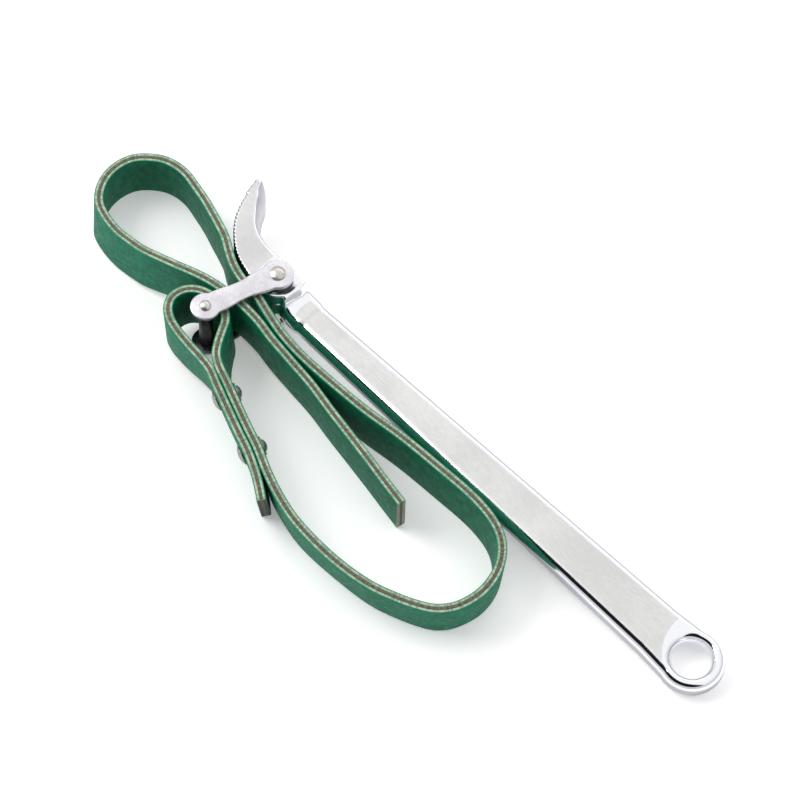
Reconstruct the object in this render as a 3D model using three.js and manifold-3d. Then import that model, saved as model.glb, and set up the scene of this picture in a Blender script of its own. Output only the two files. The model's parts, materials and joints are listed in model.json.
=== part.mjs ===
// Oil filter strap wrench. A flat forged bar ends in a round boss and a serrated horn. Two link plates
// swing on the boss's pivot rivet and carry an anchor rivet with a loose sleeve. A laminated flat belt is
// folded round the sleeve, riveted back on itself, and threaded through the plates beside the horn.
// Millimetres, +Z up. The tool's own frame has the pivot at its origin, the bar along +X and the bar's
// mid-plane at z = 0. The finished group stands on z = 0 with its box centred over the origin.
import * as THREE from 'three';
import { mergeVertices } from 'three/addons/utils/BufferGeometryUtils.js';
import Module from 'manifold-3d';

const wasm = await Module();
wasm.setup();

// ---- driving dimensions ----
const GAP = 0.25;              // clearance between pieces that rest on each other
const ROUND_SIDES = 24;

const BAR_THICK = 10.5;
const BAR_START = 10.8;        // where the bar's square shoulder stands out of the boss
const BAR_START_HALF = 8.2;
const BAR_ROOT_HALF = 5;       // the bar's root, buried in the boss
const BAR_END_HALF = 12.6;
const BAR_TAPER_END = 226;
const BAR_SHIFT = 0.6;         // the bar's centreline lies a little to the horn's side of the pivot
const BAR_EDGE = 2.4;          // rounded edge of the bar
const HOLE_X = 244;
const HOLE_R = 8.4;
const END_R = 14.4;

const HEAD_THICK = 22.8;
const BOSS_R = 9;
const RAMP_ROOT = 4;           // the flare starts inside the boss
const RAMP_START = 9.3;
const RAMP_LENGTH = 7;         // from the bar's shoulder to where the flare dies out
const RAMP_INSET = 1.5;        // the flare is this much narrower than the bar on each side
const RAMP_STEP = 0.6;         // and stays this far below the boss's face
const TOOTH_PITCH = 1.9;
const TOOTH_DEPTH = 0.55;
const HEAD_CHAMFER = 0.15;
const HORN_SLOPE = 1.55;       // how steeply the horn's back falls away below its ridge
// The horn's back from its tip to the boss: [x, y, how far the sloping part comes in from the outline].
const HORN_BACK = [[-43.2, 28.3, 0.15], [-42, 29.7, 0.8], [-40.4, 30, 1.6], [-38.6, 29.4, 2.6],
  [-36.2, 27.8, 3.4], [-33.8, 25, 3.2], [-31.9, 21.4, 2.7], [-29.4, 17.8, 2.2], [-26.3, 14.2, 1.8],
  [-22.9, 11.4, 1.1], [-18.8, 9.5, 0.5], [-14.5, 8.6, 0.2], [-7.6, 8.3, 0.15]];

const PLATE_GAP = 28;
const PLATE_THICK = 2.1;
const PLATE_PIVOT_R = 7.2;
const PLATE_ANCHOR_R = 6.6;
const PLATE_WAIST = [[0.3, 5.2], [0.42, 4.5], [0.58, 4.5], [0.72, 5.1]];   // [share of length, half-width]
const ANCHOR = new THREE.Vector2(-10, -33.5);

const PIVOT_SHANK_R = 2.6;
const PIVOT_HEAD_R = 3.4;
const ANCHOR_SHANK_R = 1.7;
const ANCHOR_HEAD_R = 2.5;
const HEAD_HEIGHT = 1.5;
const SLEEVE_R = 3.1;
const WASHER_R = 6.7;

const BELT_WIDTH = 26;
const BELT_THICK = 4.2;
const CORE_THICK = 1.2;
const PLY_GAP = 0.1;           // bond line between the core and each cover
const COVER_INSET = 0.3;       // the covers' cut edges stand this far inside the core's
const LAP_GAP = 0.3;
const LAP_RIVET_R = 1.8;
const LAP_HEAD_R = 4.3;
const LAP_HEAD_HEIGHT = 1.5;
const LAP_RIM = 0.5;           // straight rim under a lap rivet's dome
const LAP_WASHER_THICK = 0.8;

// ---- derived sizes ----
const PLATE_IN = PLATE_GAP / 2;
const PLATE_OUT = PLATE_IN + PLATE_THICK;
const RIVET_TOP = PLATE_OUT + GAP + HEAD_HEIGHT;
const PIVOT_HEIGHT = RIVET_TOP + 0.25;
const REST_X = HOLE_X + END_R - BAR_EDGE;
const TILT = Math.atan((PIVOT_HEIGHT - BAR_THICK / 2) / REST_X);

// ---- materials ----
const metal = (color, roughness) => new THREE.MeshStandardMaterial({ color, roughness, metalness: 1 });
const rubber = (color, roughness) => new THREE.MeshStandardMaterial({ color, roughness, metalness: 0 });
const chrome = metal(0xd7d7d4, 0.18);
const nickel = metal(0xd0cbd2, 0.35);
const rivetSteel = metal(0xc9c6be, 0.3);
const blackSteel = metal(0x2b2b2e, 0.4);
const greenRubber = rubber(0x206e52, 0.6);
const coreFabric = rubber(0x6e6955, 0.8);

// ---- helpers ----
const toSolid = (geometry) => {
  const plain = geometry.clone();
  plain.deleteAttribute('normal');
  plain.deleteAttribute('uv');
  const merged = mergeVertices(plain, 1e-4);
  return new wasm.Manifold(new wasm.Mesh({
    numProp: 3,
    vertProperties: new Float32Array(merged.attributes.position.array),
    triVerts: new Uint32Array(merged.index.array),
  }));
};

const toGeometry = (solid) => {
  const mesh = solid.getMesh();
  const geometry = new THREE.BufferGeometry();
  geometry.setAttribute('position', new THREE.BufferAttribute(new Float32Array(mesh.vertProperties), 3));
  geometry.setIndex(new THREE.BufferAttribute(new Uint32Array(mesh.triVerts), 1));
  geometry.computeVertexNormals();
  return geometry;
};

const named = (name, geometry, material) => {
  const mesh = new THREE.Mesh(geometry, material);
  mesh.name = name;
  return mesh;
};

// A flat slab of a plan outline, centred on z = 0, with its edges bevelled inwards.
const slab = (shape, thick, edge = 0, curveSegments = 12) => new THREE.ExtrudeGeometry(shape, {
  depth: thick - 2 * edge, curveSegments,
  bevelEnabled: edge > 0, bevelThickness: edge, bevelSize: edge, bevelOffset: -edge, bevelSegments: 3,
}).translate(0, 0, edge - thick / 2);

// A turned piece about Z from [radius, height] pairs.
const turned = (profile) => new THREE.LatheGeometry(
  profile.map(([r, z]) => new THREE.Vector2(r, z)), ROUND_SIDES).rotateX(Math.PI / 2);

const post = (r, length) => turned([[0, -length / 2], [r, -length / 2], [r, length / 2], [0, length / 2]]);

const ring = (outer, inner, length) => {
  const half = length / 2;
  return turned([[inner, -half], [outer, -half], [outer, half], [inner, half], [inner, -half]]);
};

// ---- forged handle ----
const barShape = () => {
  const shape = new THREE.Shape();
  const lean = Math.acos(BAR_END_HALF / END_R);
  shape.moveTo(BAR_START, BAR_SHIFT - BAR_START_HALF);
  shape.lineTo(BAR_TAPER_END, BAR_SHIFT - BAR_END_HALF);
  shape.absarc(HOLE_X, BAR_SHIFT, END_R, -Math.PI / 2 - lean * 0.6, Math.PI / 2 + lean * 0.6, false);
  shape.lineTo(BAR_TAPER_END, BAR_SHIFT + BAR_END_HALF);
  shape.lineTo(BAR_START, BAR_SHIFT + BAR_START_HALF);
  shape.lineTo(0, BAR_ROOT_HALF);
  shape.lineTo(0, -BAR_ROOT_HALF);
  shape.closePath();
  const hole = new THREE.Path();
  hole.absarc(HOLE_X, BAR_SHIFT, HOLE_R, 0, 2 * Math.PI, true);
  shape.holes.push(hole);
  return shape;
};

// The serrated face runs from the boss, under the horn, up to its tip, and is struck into teeth.
const serratedEdge = () => {
  const face = new THREE.CatmullRomCurve3([
    [-10.4, -7.6], [-16.3, -6], [-20.9, -4.4], [-25.6, -1.6], [-30.3, 2.2], [-34.4, 6.5], [-37.2, 10.8],
    [-39.2, 14.8], [-40.8, 18.6], [-42, 22.2], [-42.9, 26.2],
  ].map(([x, y]) => new THREE.Vector3(x, y, 0)));
  const teeth = Math.round(face.getLength() / TOOTH_PITCH);
  const points = [];
  for (let i = 0; i < 2 * teeth; i += 1) {
    const t = (i + 0.5) / (2 * teeth);
    const at = face.getPointAt(t);
    const along = face.getTangentAt(t);
    const depth = i % 2 ? TOOTH_DEPTH : 0;
    points.push(new THREE.Vector2(at.x + along.y * depth, at.y - along.x * depth));
  }
  return points;
};

// The plan of the boss and horn, going clockwise. The third number is how far its edge is sloped back.
const headOutline = () => {
  const plain = ({ x, y }) => new THREE.Vector3(x, y, HEAD_CHAMFER);
  const boss = new THREE.EllipseCurve(0, 0, BOSS_R, BOSS_R, -0.2, -2.35, true).getPoints(20);
  const back = new THREE.CatmullRomCurve3(HORN_BACK.map((p) => new THREE.Vector3(...p)));
  const shoulder = new THREE.QuadraticBezierCurve(new THREE.Vector2(6, 8.4), new THREE.Vector2(10.4, 8.4),
    new THREE.Vector2(10.6, 3.5)).getPoints(8);
  return [...boss.map(plain), ...serratedEdge().map(plain), ...back.getPoints(36), ...shoulder.map(plain)];
};

// The head is upright up to the foot of its slope and then leans in to the ridge, the same above and below.
const headSolid = () => {
  const outline = headOutline();
  const count = outline.length;
  const ridge = outline.map((p, i) => {
    const along = outline[(i + 2) % count].clone().sub(outline[(i - 2 + count) % count]).setZ(0).normalize();
    return new THREE.Vector2(p.x + along.y * p.z, p.y - along.x * p.z);
  });
  const half = HEAD_THICK / 2;
  const foot = outline.map((p) => half - p.z * HORN_SLOPE);
  const position = [
    ridge.map((p) => [p.x, p.y, -half]), outline.map((p, i) => [p.x, p.y, -foot[i]]),
    outline.map((p, i) => [p.x, p.y, foot[i]]), ridge.map((p) => [p.x, p.y, half]),
  ].flat(2);
  const index = [];
  for (let ring = 0; ring < 3; ring += 1) {
    for (let i = 0; i < count; i += 1) {
      const a = ring * count + i;
      const b = ring * count + ((i + 1) % count);
      index.push(a, b + count, b, a, a + count, b + count);
    }
  }
  THREE.ShapeUtils.triangulateShape(ridge, []).forEach(([a, b, c]) => {
    const up = (ridge[b].x - ridge[a].x) * (ridge[c].y - ridge[a].y)
      - (ridge[b].y - ridge[a].y) * (ridge[c].x - ridge[a].x) > 0;
    const [p, q] = up ? [b, c] : [c, b];
    index.push(3 * count + a, 3 * count + p, 3 * count + q, a, q, p);
  });
  const geometry = new THREE.BufferGeometry();
  geometry.setAttribute('position', new THREE.Float32BufferAttribute(position, 3));
  geometry.setIndex(index);
  return toSolid(geometry);
};

// The forged flare that brings the bar's flats up to the boss's faces.
const flare = () => {
  const half = new THREE.Shape();
  const top = HEAD_THICK / 2 - RAMP_STEP;
  const foot = BAR_THICK / 2 - RAMP_STEP;
  half.moveTo(RAMP_ROOT, -foot);
  half.lineTo(RAMP_ROOT, top);
  half.lineTo(RAMP_START, top);
  half.quadraticCurveTo(BAR_START, foot, BAR_START + RAMP_LENGTH, foot);
  half.lineTo(BAR_START + RAMP_LENGTH, -foot);
  half.closePath();
  const halfWidth = BAR_START_HALF - RAMP_INSET;
  const options = { depth: 2 * halfWidth, bevelEnabled: false, curveSegments: 6 };
  const side = new THREE.ExtrudeGeometry(half, options).rotateX(Math.PI / 2);
  return toSolid(side.translate(0, BAR_SHIFT + halfWidth, 0));
};

const handleGeometry = () => {
  const bar = toSolid(slab(barShape(), BAR_THICK, BAR_EDGE, 20));
  const head = headSolid();
  const ramp = flare();
  const bore = toSolid(post(PIVOT_SHANK_R + GAP, HEAD_THICK + 4));
  return toGeometry(bar.add(head).add(ramp).add(ramp.mirror([0, 0, 1])).subtract(bore));
};

// ---- link plates ----
const plateShape = () => {
  const along = ANCHOR.clone().normalize();
  const side = new THREE.Vector2(-along.y, along.x);
  const centres = ANCHOR.length();
  const at = (s, w) => along.clone().multiplyScalar(s).addScaledVector(side, w).toArray();
  const heading = along.angle();
  const shape = new THREE.Shape();
  shape.absarc(0, 0, PLATE_PIVOT_R, heading + 0.95, heading - 0.95 + 2 * Math.PI, false);
  PLATE_WAIST.forEach(([s, half]) => shape.lineTo(...at(s * centres, -half)));
  shape.absarc(ANCHOR.x, ANCHOR.y, PLATE_ANCHOR_R, heading - 2.2, heading + 2.2, false);
  [...PLATE_WAIST].reverse().forEach(([s, half]) => shape.lineTo(...at(s * centres, half)));
  shape.closePath();
  [[new THREE.Vector2(), PIVOT_SHANK_R], [ANCHOR, ANCHOR_SHANK_R]].forEach(([c, r]) => {
    const hole = new THREE.Path();
    hole.absarc(c.x, c.y, r + GAP, 0, 2 * Math.PI, true);
    shape.holes.push(hole);
  });
  return shape;
};

const linkPlate = (name, side) => {
  const plate = named(name, slab(plateShape(), PLATE_THICK), nickel);
  plate.position.z = side * (PLATE_IN + PLATE_THICK / 2);
  return plate;
};

// A through rivet with a low domed head at each end.
const yokeRivet = (name, shank, head) => {
  const under = PLATE_OUT + GAP;
  const half = [[head, under], [head, under + HEAD_HEIGHT * 0.45], [head * 0.7, under + HEAD_HEIGHT * 0.9],
    [0, under + HEAD_HEIGHT]];
  const profile = [...half].reverse().map(([r, z]) => [r, -z]);
  return named(name, turned([...profile, [shank, -under], [shank, under], ...half]), rivetSteel);
};

const pivotWasher = (name, side) => {
  const thick = PLATE_IN - HEAD_THICK / 2 - 2 * GAP;
  const washer = named(name, ring(WASHER_R, PIVOT_SHANK_R + GAP, thick), blackSteel);
  washer.position.z = side * (PLATE_IN - GAP - thick / 2);
  return washer;
};

// ---- belt ----
// The lap is straight: the belt's standing part, and its tail laid against that part's outer face.
const LAP_FROM = new THREE.Vector2(13.5, -47.6);
const LAP_ALONG = new THREE.Vector2(0.935, -0.355).normalize();
const LAP_OUT = new THREE.Vector2(LAP_ALONG.y, -LAP_ALONG.x);
const LAP_STEP = BELT_THICK + LAP_GAP;
const LAP_STATIONS = [0, 8, 20, 32, 42];
const LAP_RIVETS = [8.5, 36];
const LAP_LEAN = 3.7;
const onLap = (distance, out) => LAP_FROM.clone()
  .addScaledVector(LAP_ALONG, distance).addScaledVector(LAP_OUT, out);
const lapRun = (out) => LAP_STATIONS.map((distance) => onLap(distance, out).toArray());

// The belt stands on its edge and leans. The third number that this gives each point of a run is how far
// the belt's lower edge stands to the left of its upper edge, which is the edge that the points follow.
const leaning = (run, from, to = from) => run.map(([x, y], i) => (
  new THREE.Vector3(x, y, THREE.MathUtils.lerp(from, to, i / (run.length - 1)))));

// Travelled from the free end, round the filter loop and the slack loop, to the eye and the riveted tail.
const beltRoute = [
  ...leaning([[114.5, -38.4], [103, -36.2], [92, -33.9], [77, -31], [63, -28.4], [47, -25.2], [33, -23.8],
    [20, -22.6], [9, -20.8], [-2, -20.3], [-11, -20.9], [-19.5, -22.3], [-27.5, -24.6], [-36, -27.2]], -1.2, 0),
  ...leaning([[-51, -30.4], [-61, -30.8], [-70, -30.6], [-79, -29], [-86, -26]], 0.8, 2.4),
  ...leaning([[-91, -20.6], [-94, -13.6], [-94.3, -6], [-92.2, 0.4], [-87.6, 5.6], [-82.4, 9.2],
    [-76.4, 11], [-70, 11.2], [-63, 9.8], [-54, 7.4], [-44.6, 3.9]], 2, 0),
  ...leaning([[-37, 0.9], [-30.6, -1.9], [-23.2, -6.3], [-18.2, -8.9], [-11.8, -11], [-5, -12],
    [1.5, -12.8], [9.5, -15]], 0),
  ...leaning([[19, -17.3], [28, -18.4], [38, -18.6], [52, -18.2], [72, -17.6], [92, -15.8], [113, -15.2],
    [134, -15.2]], 0),
  ...leaning([[146, -17], [153, -19.6], [158.6, -23.6], [163, -29.2], [166, -36.5], [167, -44],
    [166, -51.4]], -0.4, -4),
  ...leaning([[163.4, -58], [158.6, -63.6], [152, -67.6], [143, -71.4], [131, -75], [112, -76.9]],
    -4.3, -4.8),
  ...leaning([[90, -75.6], [77.2, -72.6], [64.2, -67.8]], -3.6, -2.8),
  ...leaning(lapRun(0).reverse(), -LAP_LEAN),
  ...leaning([[9, -44.6], [5.8, -40.4], [3, -35.6], [0.4, -31.2], [-3.4, -28], [-9, -26.6]], -4.2, 0),
  ...leaning([[-14.5, -27], [-19, -28.8], [-22.4, -32], [-24, -36], [-23.8, -40.4], [-21, -44.6]], 0),
  ...leaning([[-16.6, -47.4], [-10, -49.2], [-2, -50.3], [5.4, -50.9]], 0.8, 3.4),
  ...leaning(lapRun(LAP_STEP), LAP_LEAN),
  ...leaning([[61, -71.6], [67, -75.2], [72.6, -79]], 3.2, 2.2),
];

// The belt climbs a little where the plates lift it.
const LIFT_FULL = 16;
const LIFT_GONE = 62;
const beltLift = (x, y) => {
  const along = ANCHOR.clone().normalize();
  const s = THREE.MathUtils.clamp(x * along.x + y * along.y, 0, ANCHOR.length());
  const away = Math.hypot(x - along.x * s, y - along.y * s);
  const w = 1 - THREE.MathUtils.smoothstep(away, LIFT_FULL, LIFT_GONE);
  return w * (PIVOT_HEIGHT - BELT_WIDTH / 2 - Math.tan(TILT) * x);
};

// Both ends are cut askew: the lower corner stands back from the upper one, which fades over CUT_REACH.
const STEPS_PER_POINT = 2;
const FREE_END_SKEW = 2.4;
const TAIL_SKEW = 6;
const CUT_REACH = 16;
const beltStations = (() => {
  const curve = new THREE.CatmullRomCurve3(beltRoute, false, 'centripetal');
  const spans = (beltRoute.length - 1) * STEPS_PER_POINT;
  const ends = [curve.getPoint(0), curve.getPoint(1)];
  return Array.from({ length: spans + 1 }, (_, i) => {
    const at = curve.getPoint(i / spans);
    const tangent = curve.getTangent(i / spans);
    const along = new THREE.Vector2(tangent.x, tangent.y).normalize();
    const nearStart = i < spans / 2;
    const fade = 1 - at.distanceTo(ends[nearStart ? 0 : 1]) / CUT_REACH;
    return {
      at: new THREE.Vector2(at.x, at.y), along, left: new THREE.Vector2(-along.y, along.x), lean: at.z,
      lift: beltLift(at.x, at.y), skew: Math.max(fade, 0) * (nearStart ? FREE_END_SKEW : -TAIL_SKEW),
    };
  });
})();

const beltPoint = ({ at, along, left, lean, lift, skew }, offset, height) => {
  const drop = 1 - height / BELT_WIDTH;
  const plan = at.clone().addScaledVector(left, offset + lean * drop).addScaledVector(along, skew * drop);
  return [plan.x, plan.y, height + lift];
};

// One ply, lofted through a rectangle at each station. Its two faces are split along the same diagonals,
// so that neighbouring plies stay parallel where the belt twists.
const CORNERS = 4;
const beltPly = (name, from, to, inset, material) => {
  const rings = beltStations.map((station) => [
    beltPoint(station, from, inset), beltPoint(station, to, inset),
    beltPoint(station, to, BELT_WIDTH - inset), beltPoint(station, from, BELT_WIDTH - inset)]);
  const index = [0, 2, 1, 0, 3, 2];
  for (let i = 0; i < rings.length - 1; i += 1) {
    for (let j = 0; j < CORNERS; j += 1) {
      const a = i * CORNERS + j;
      const b = i * CORNERS + (j + 1) % CORNERS;
      if (j === CORNERS - 1) index.push(a, b, b + CORNERS, a, b + CORNERS, a + CORNERS);
      else index.push(a, b, a + CORNERS, b, b + CORNERS, a + CORNERS);
    }
  }
  const last = (rings.length - 1) * CORNERS;
  index.push(last, last + 1, last + 2, last, last + 2, last + 3);
  const strip = new THREE.BufferGeometry();
  strip.setAttribute('position', new THREE.BufferAttribute(new Float32Array(rings.flat(2)), 3));
  strip.setIndex(index);
  const cutter = () => post(LAP_RIVET_R + GAP, 4 * BELT_THICK);
  const holes = LAP_RIVETS.map((distance) => toSolid(atLap(cutter(), distance)));
  return named(name, toGeometry(holes.reduce((ply, hole) => ply.subtract(hole), toSolid(strip))), material);
};

// Turns a piece made about Z so that Z points squarely out of the leaning lap's tail side, and moves it
// to a rivet's place halfway up the belt.
const atLap = (geometry, distance) => {
  const centre = onLap(distance, LAP_STEP / 2 - LAP_LEAN / 2);
  const out = new THREE.Vector3(LAP_OUT.x * BELT_WIDTH, LAP_OUT.y * BELT_WIDTH, -LAP_LEAN).normalize();
  return geometry
    .applyQuaternion(new THREE.Quaternion().setFromUnitVectors(new THREE.Vector3(0, 0, 1), out))
    .translate(centre.x, centre.y, BELT_WIDTH / 2 + beltLift(centre.x, centre.y));
};

const lapRivet = (name, distance) => {
  const head = LAP_STEP / 2 + BELT_THICK / 2 + GAP;
  const foot = -head - LAP_WASHER_THICK - GAP;
  const clench = LAP_HEAD_R * 0.62;
  return named(name, atLap(turned([
    [0, foot - LAP_HEAD_HEIGHT], [clench * 0.7, foot - LAP_HEAD_HEIGHT * 0.85],
    [clench, foot - LAP_RIM], [clench, foot],
    [LAP_RIVET_R, foot], [LAP_RIVET_R, head], [LAP_HEAD_R, head], [LAP_HEAD_R, head + LAP_RIM],
    [LAP_HEAD_R * 0.7, head + LAP_HEAD_HEIGHT * 0.85], [0, head + LAP_HEAD_HEIGHT],
  ]), distance), rivetSteel);
};

const lapWasher = (name, distance) => {
  const middle = -(LAP_STEP / 2 + BELT_THICK / 2 + GAP + LAP_WASHER_THICK / 2);
  const washer = ring(LAP_HEAD_R, LAP_RIVET_R + GAP, LAP_WASHER_THICK).translate(0, 0, middle);
  return named(name, atLap(washer, distance), rivetSteel);
};

// ---- assembly ----
const tool = new THREE.Group();
tool.add(
  named('handle', handleGeometry(), chrome),
  linkPlate('upper_link_plate', 1),
  linkPlate('lower_link_plate', -1),
  yokeRivet('pivot_rivet', PIVOT_SHANK_R, PIVOT_HEAD_R),
  pivotWasher('upper_pivot_washer', 1),
  pivotWasher('lower_pivot_washer', -1),
);
const anchor = new THREE.Group();
anchor.position.set(ANCHOR.x, ANCHOR.y, 0);
anchor.add(
  yokeRivet('anchor_rivet', ANCHOR_SHANK_R, ANCHOR_HEAD_R),
  named('anchor_sleeve', ring(SLEEVE_R, ANCHOR_SHANK_R + GAP, PLATE_GAP - 2 * GAP), blackSteel),
);
tool.add(anchor);
tool.rotation.y = TILT;
tool.position.z = PIVOT_HEIGHT;

const coreHalf = CORE_THICK / 2;
const wrench = new THREE.Group();
wrench.add(
  tool,
  beltPly('strap_core', -coreHalf, coreHalf, 0, coreFabric),
  beltPly('strap_inner_cover', coreHalf + PLY_GAP, BELT_THICK / 2, COVER_INSET, greenRubber),
  beltPly('strap_outer_cover', -BELT_THICK / 2, -coreHalf - PLY_GAP, COVER_INSET, greenRubber),
);
LAP_RIVETS.forEach((distance, i) => wrench.add(
  lapRivet(`strap_rivet_${i + 1}`, distance),
  lapWasher(`strap_washer_${i + 1}`, distance),
));

// Stand the whole on z = 0, with its box centred over the origin.
const box = new THREE.Box3().setFromObject(wrench, true);
const middle = box.getCenter(new THREE.Vector3());
wrench.position.set(-middle.x, -middle.y, -box.min.z);

export default wrench;
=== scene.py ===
"""Oil filter strap wrench, finished for rendering round its packed steel and belt.

The forging, the yoke and the belt are each a class that builds its own meshes and dresses them. Sizes are in
millimetres in the tool's own frame, where the pivot is the origin, the bar runs along X and the forging's
mid-plane is z = 0, and they become metres in the row frame when a mesh is made.
"""

import enum
import json
import logging
import math
from collections.abc import Callable, Sequence
from dataclasses import dataclass, field

import bpy
import numpy as np
from mathutils import Matrix, Vector


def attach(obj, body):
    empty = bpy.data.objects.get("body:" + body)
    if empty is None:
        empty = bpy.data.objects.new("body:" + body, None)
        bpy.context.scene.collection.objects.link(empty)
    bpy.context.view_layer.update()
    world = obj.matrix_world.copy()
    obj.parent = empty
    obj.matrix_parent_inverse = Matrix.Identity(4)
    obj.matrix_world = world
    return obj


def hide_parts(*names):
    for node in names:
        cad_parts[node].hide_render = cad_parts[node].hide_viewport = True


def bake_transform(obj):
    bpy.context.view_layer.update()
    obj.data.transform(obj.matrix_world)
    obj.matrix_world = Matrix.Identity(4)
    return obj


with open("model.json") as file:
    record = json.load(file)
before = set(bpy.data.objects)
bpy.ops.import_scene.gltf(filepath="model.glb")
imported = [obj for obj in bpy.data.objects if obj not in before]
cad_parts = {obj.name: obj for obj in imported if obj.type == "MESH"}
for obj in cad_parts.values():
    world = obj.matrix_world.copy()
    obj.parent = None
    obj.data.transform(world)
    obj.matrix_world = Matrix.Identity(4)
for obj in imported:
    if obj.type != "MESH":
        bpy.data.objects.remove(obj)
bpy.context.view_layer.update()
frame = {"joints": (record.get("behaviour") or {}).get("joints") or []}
LOG = logging.getLogger("strap_wrench")
MM = 0.001
Points = np.ndarray
Field = Callable[[Points], Points]
ANCHOR = (-10.0, -33.5)  # the anchor rivet's place from the pivot, in plan
GAP = 0.25  # the play between steel pieces that turn in or on each other


# ---------------------------------------------------------------- frame and measures

@dataclass(frozen=True)
class ToolFrame:
    """The tool's own frame: the pivot at its origin and the rivets' common direction as Z."""

    pivot: Vector
    axis: Vector

    @classmethod
    def from_joint(cls, name: str) -> "ToolFrame":
        """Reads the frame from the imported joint.

        Args:
            name: The joint that turns the yoke on the forging.

        Returns:
            The frame.
        """
        joint = next(j for j in frame["joints"] if j["name"] == name)
        return cls(Vector(joint["pos_m"]), Vector(joint["axis"]).normalized())

    def matrix(self) -> Matrix:
        """Returns the matrix from millimetres in this frame to metres in the row frame."""
        along = Vector((self.axis.z, 0, -self.axis.x))
        turn = Matrix((along, self.axis.cross(along), self.axis)).transposed().to_4x4()
        return Matrix.Translation(self.pivot) @ turn @ Matrix.Scale(MM, 4)

    def flat_matrix(self) -> Matrix:
        """Returns the matrix from millimetres from the pivot on the table to metres in the row frame."""
        return Matrix.Translation((self.pivot.x, self.pivot.y, 0)) @ Matrix.Scale(MM, 4)


class Body(enum.Enum):
    """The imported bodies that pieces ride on."""

    HANDLE = "handle"
    YOKE = "yoke"
    SLEEVE = "sleeve"


class Slot(enum.Enum):
    """The record's material slots."""

    CHROME = "chrome_steel"
    NICKEL = "satin_nickel"
    RIVET = "rivet_steel"
    BLACK = "black_steel"
    RUBBER = "green_rubber"
    CORE = "belt_core"


def smooth_run(points: Sequence[Sequence[float]], steps: int) -> Points:
    """Draws the centripetal Catmull-Rom curve through some points.

    Args:
        points: The points that it passes through, of any dimension.
        steps: Steps between one point and the next.

    Returns:
        The curve's points, in order.
    """
    p = np.array(points, float)
    p = np.vstack([2 * p[0] - p[1], p, 2 * p[-1] - p[-2]])
    out = []
    for a, b, c, d in zip(p[:-3], p[1:-2], p[2:-1], p[3:]):
        gap_a, gap_b, gap_c = (max(np.linalg.norm(v) ** 0.5, 1e-4) for v in (b - a, c - b, d - c))
        leave = ((b - a) / gap_a - (c - a) / (gap_a + gap_b) + (c - b) / gap_b) * gap_b
        reach = ((c - b) / gap_b - (d - b) / (gap_b + gap_c) + (d - c) / gap_c) * gap_b
        for t in np.arange(steps) / steps:
            out.append(b + t * leave + t * t * (3 * (c - b) - 2 * leave - reach)
                       + t ** 3 * (2 * (b - c) + leave + reach))
    return np.array([*out, p[-2]])


def arc(centre: Sequence[float], radius: float, start: float, end: float, count: int) -> Points:
    """Returns points on an arc, from one angle in radians to another, with both ends."""
    angle = np.linspace(start, end, count)
    return np.column_stack([centre[0] + radius * np.cos(angle), centre[1] + radius * np.sin(angle)])


def smoothstep(value: Points | float, low: float, high: float) -> Points | float:
    """Returns 0 below low, 1 above high, and a smooth rise between."""
    t = np.clip((value - low) / (high - low), 0, 1)
    return t * t * (3 - 2 * t)


# ---------------------------------------------------------------- solids from distance fields

def polygon_distance(at: Points, outline: Points, closed: bool = True) -> tuple[Points, Points]:
    """Measures the distance from points to an outline.

    Args:
        at: The points, as rows of x and y.
        outline: The outline's corners in order, as rows of x, y and a value that runs along it.
        closed: Whether the outline closes, in which case the inside is negative.

    Returns:
        The distances, and the value at the nearest place on the outline.
    """
    ends = np.roll(outline, -1, axis=0) if closed else outline[1:]
    nearest = np.full(len(at), 1e12)
    carried = np.zeros(len(at))
    inside = np.zeros(len(at), bool)
    x, y = at[:, 0], at[:, 1]
    for (ax, ay, av), (bx, by, bv) in zip(outline, ends):
        dx, dy = bx - ax, by - ay
        share = np.clip(((x - ax) * dx + (y - ay) * dy) / max(dx * dx + dy * dy, 1e-12), 0, 1)
        away = (x - ax - share * dx) ** 2 + (y - ay - share * dy) ** 2
        carried = np.where(away < nearest, av + share * (bv - av), carried)
        nearest = np.minimum(nearest, away)
        if closed and ay != by:
            inside ^= ((ay > y) != (by > y)) & (x < ax + (y - ay) * dx / dy)
    distance = np.sqrt(nearest)
    return (np.where(inside, -distance, distance) if closed else distance), carried


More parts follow.
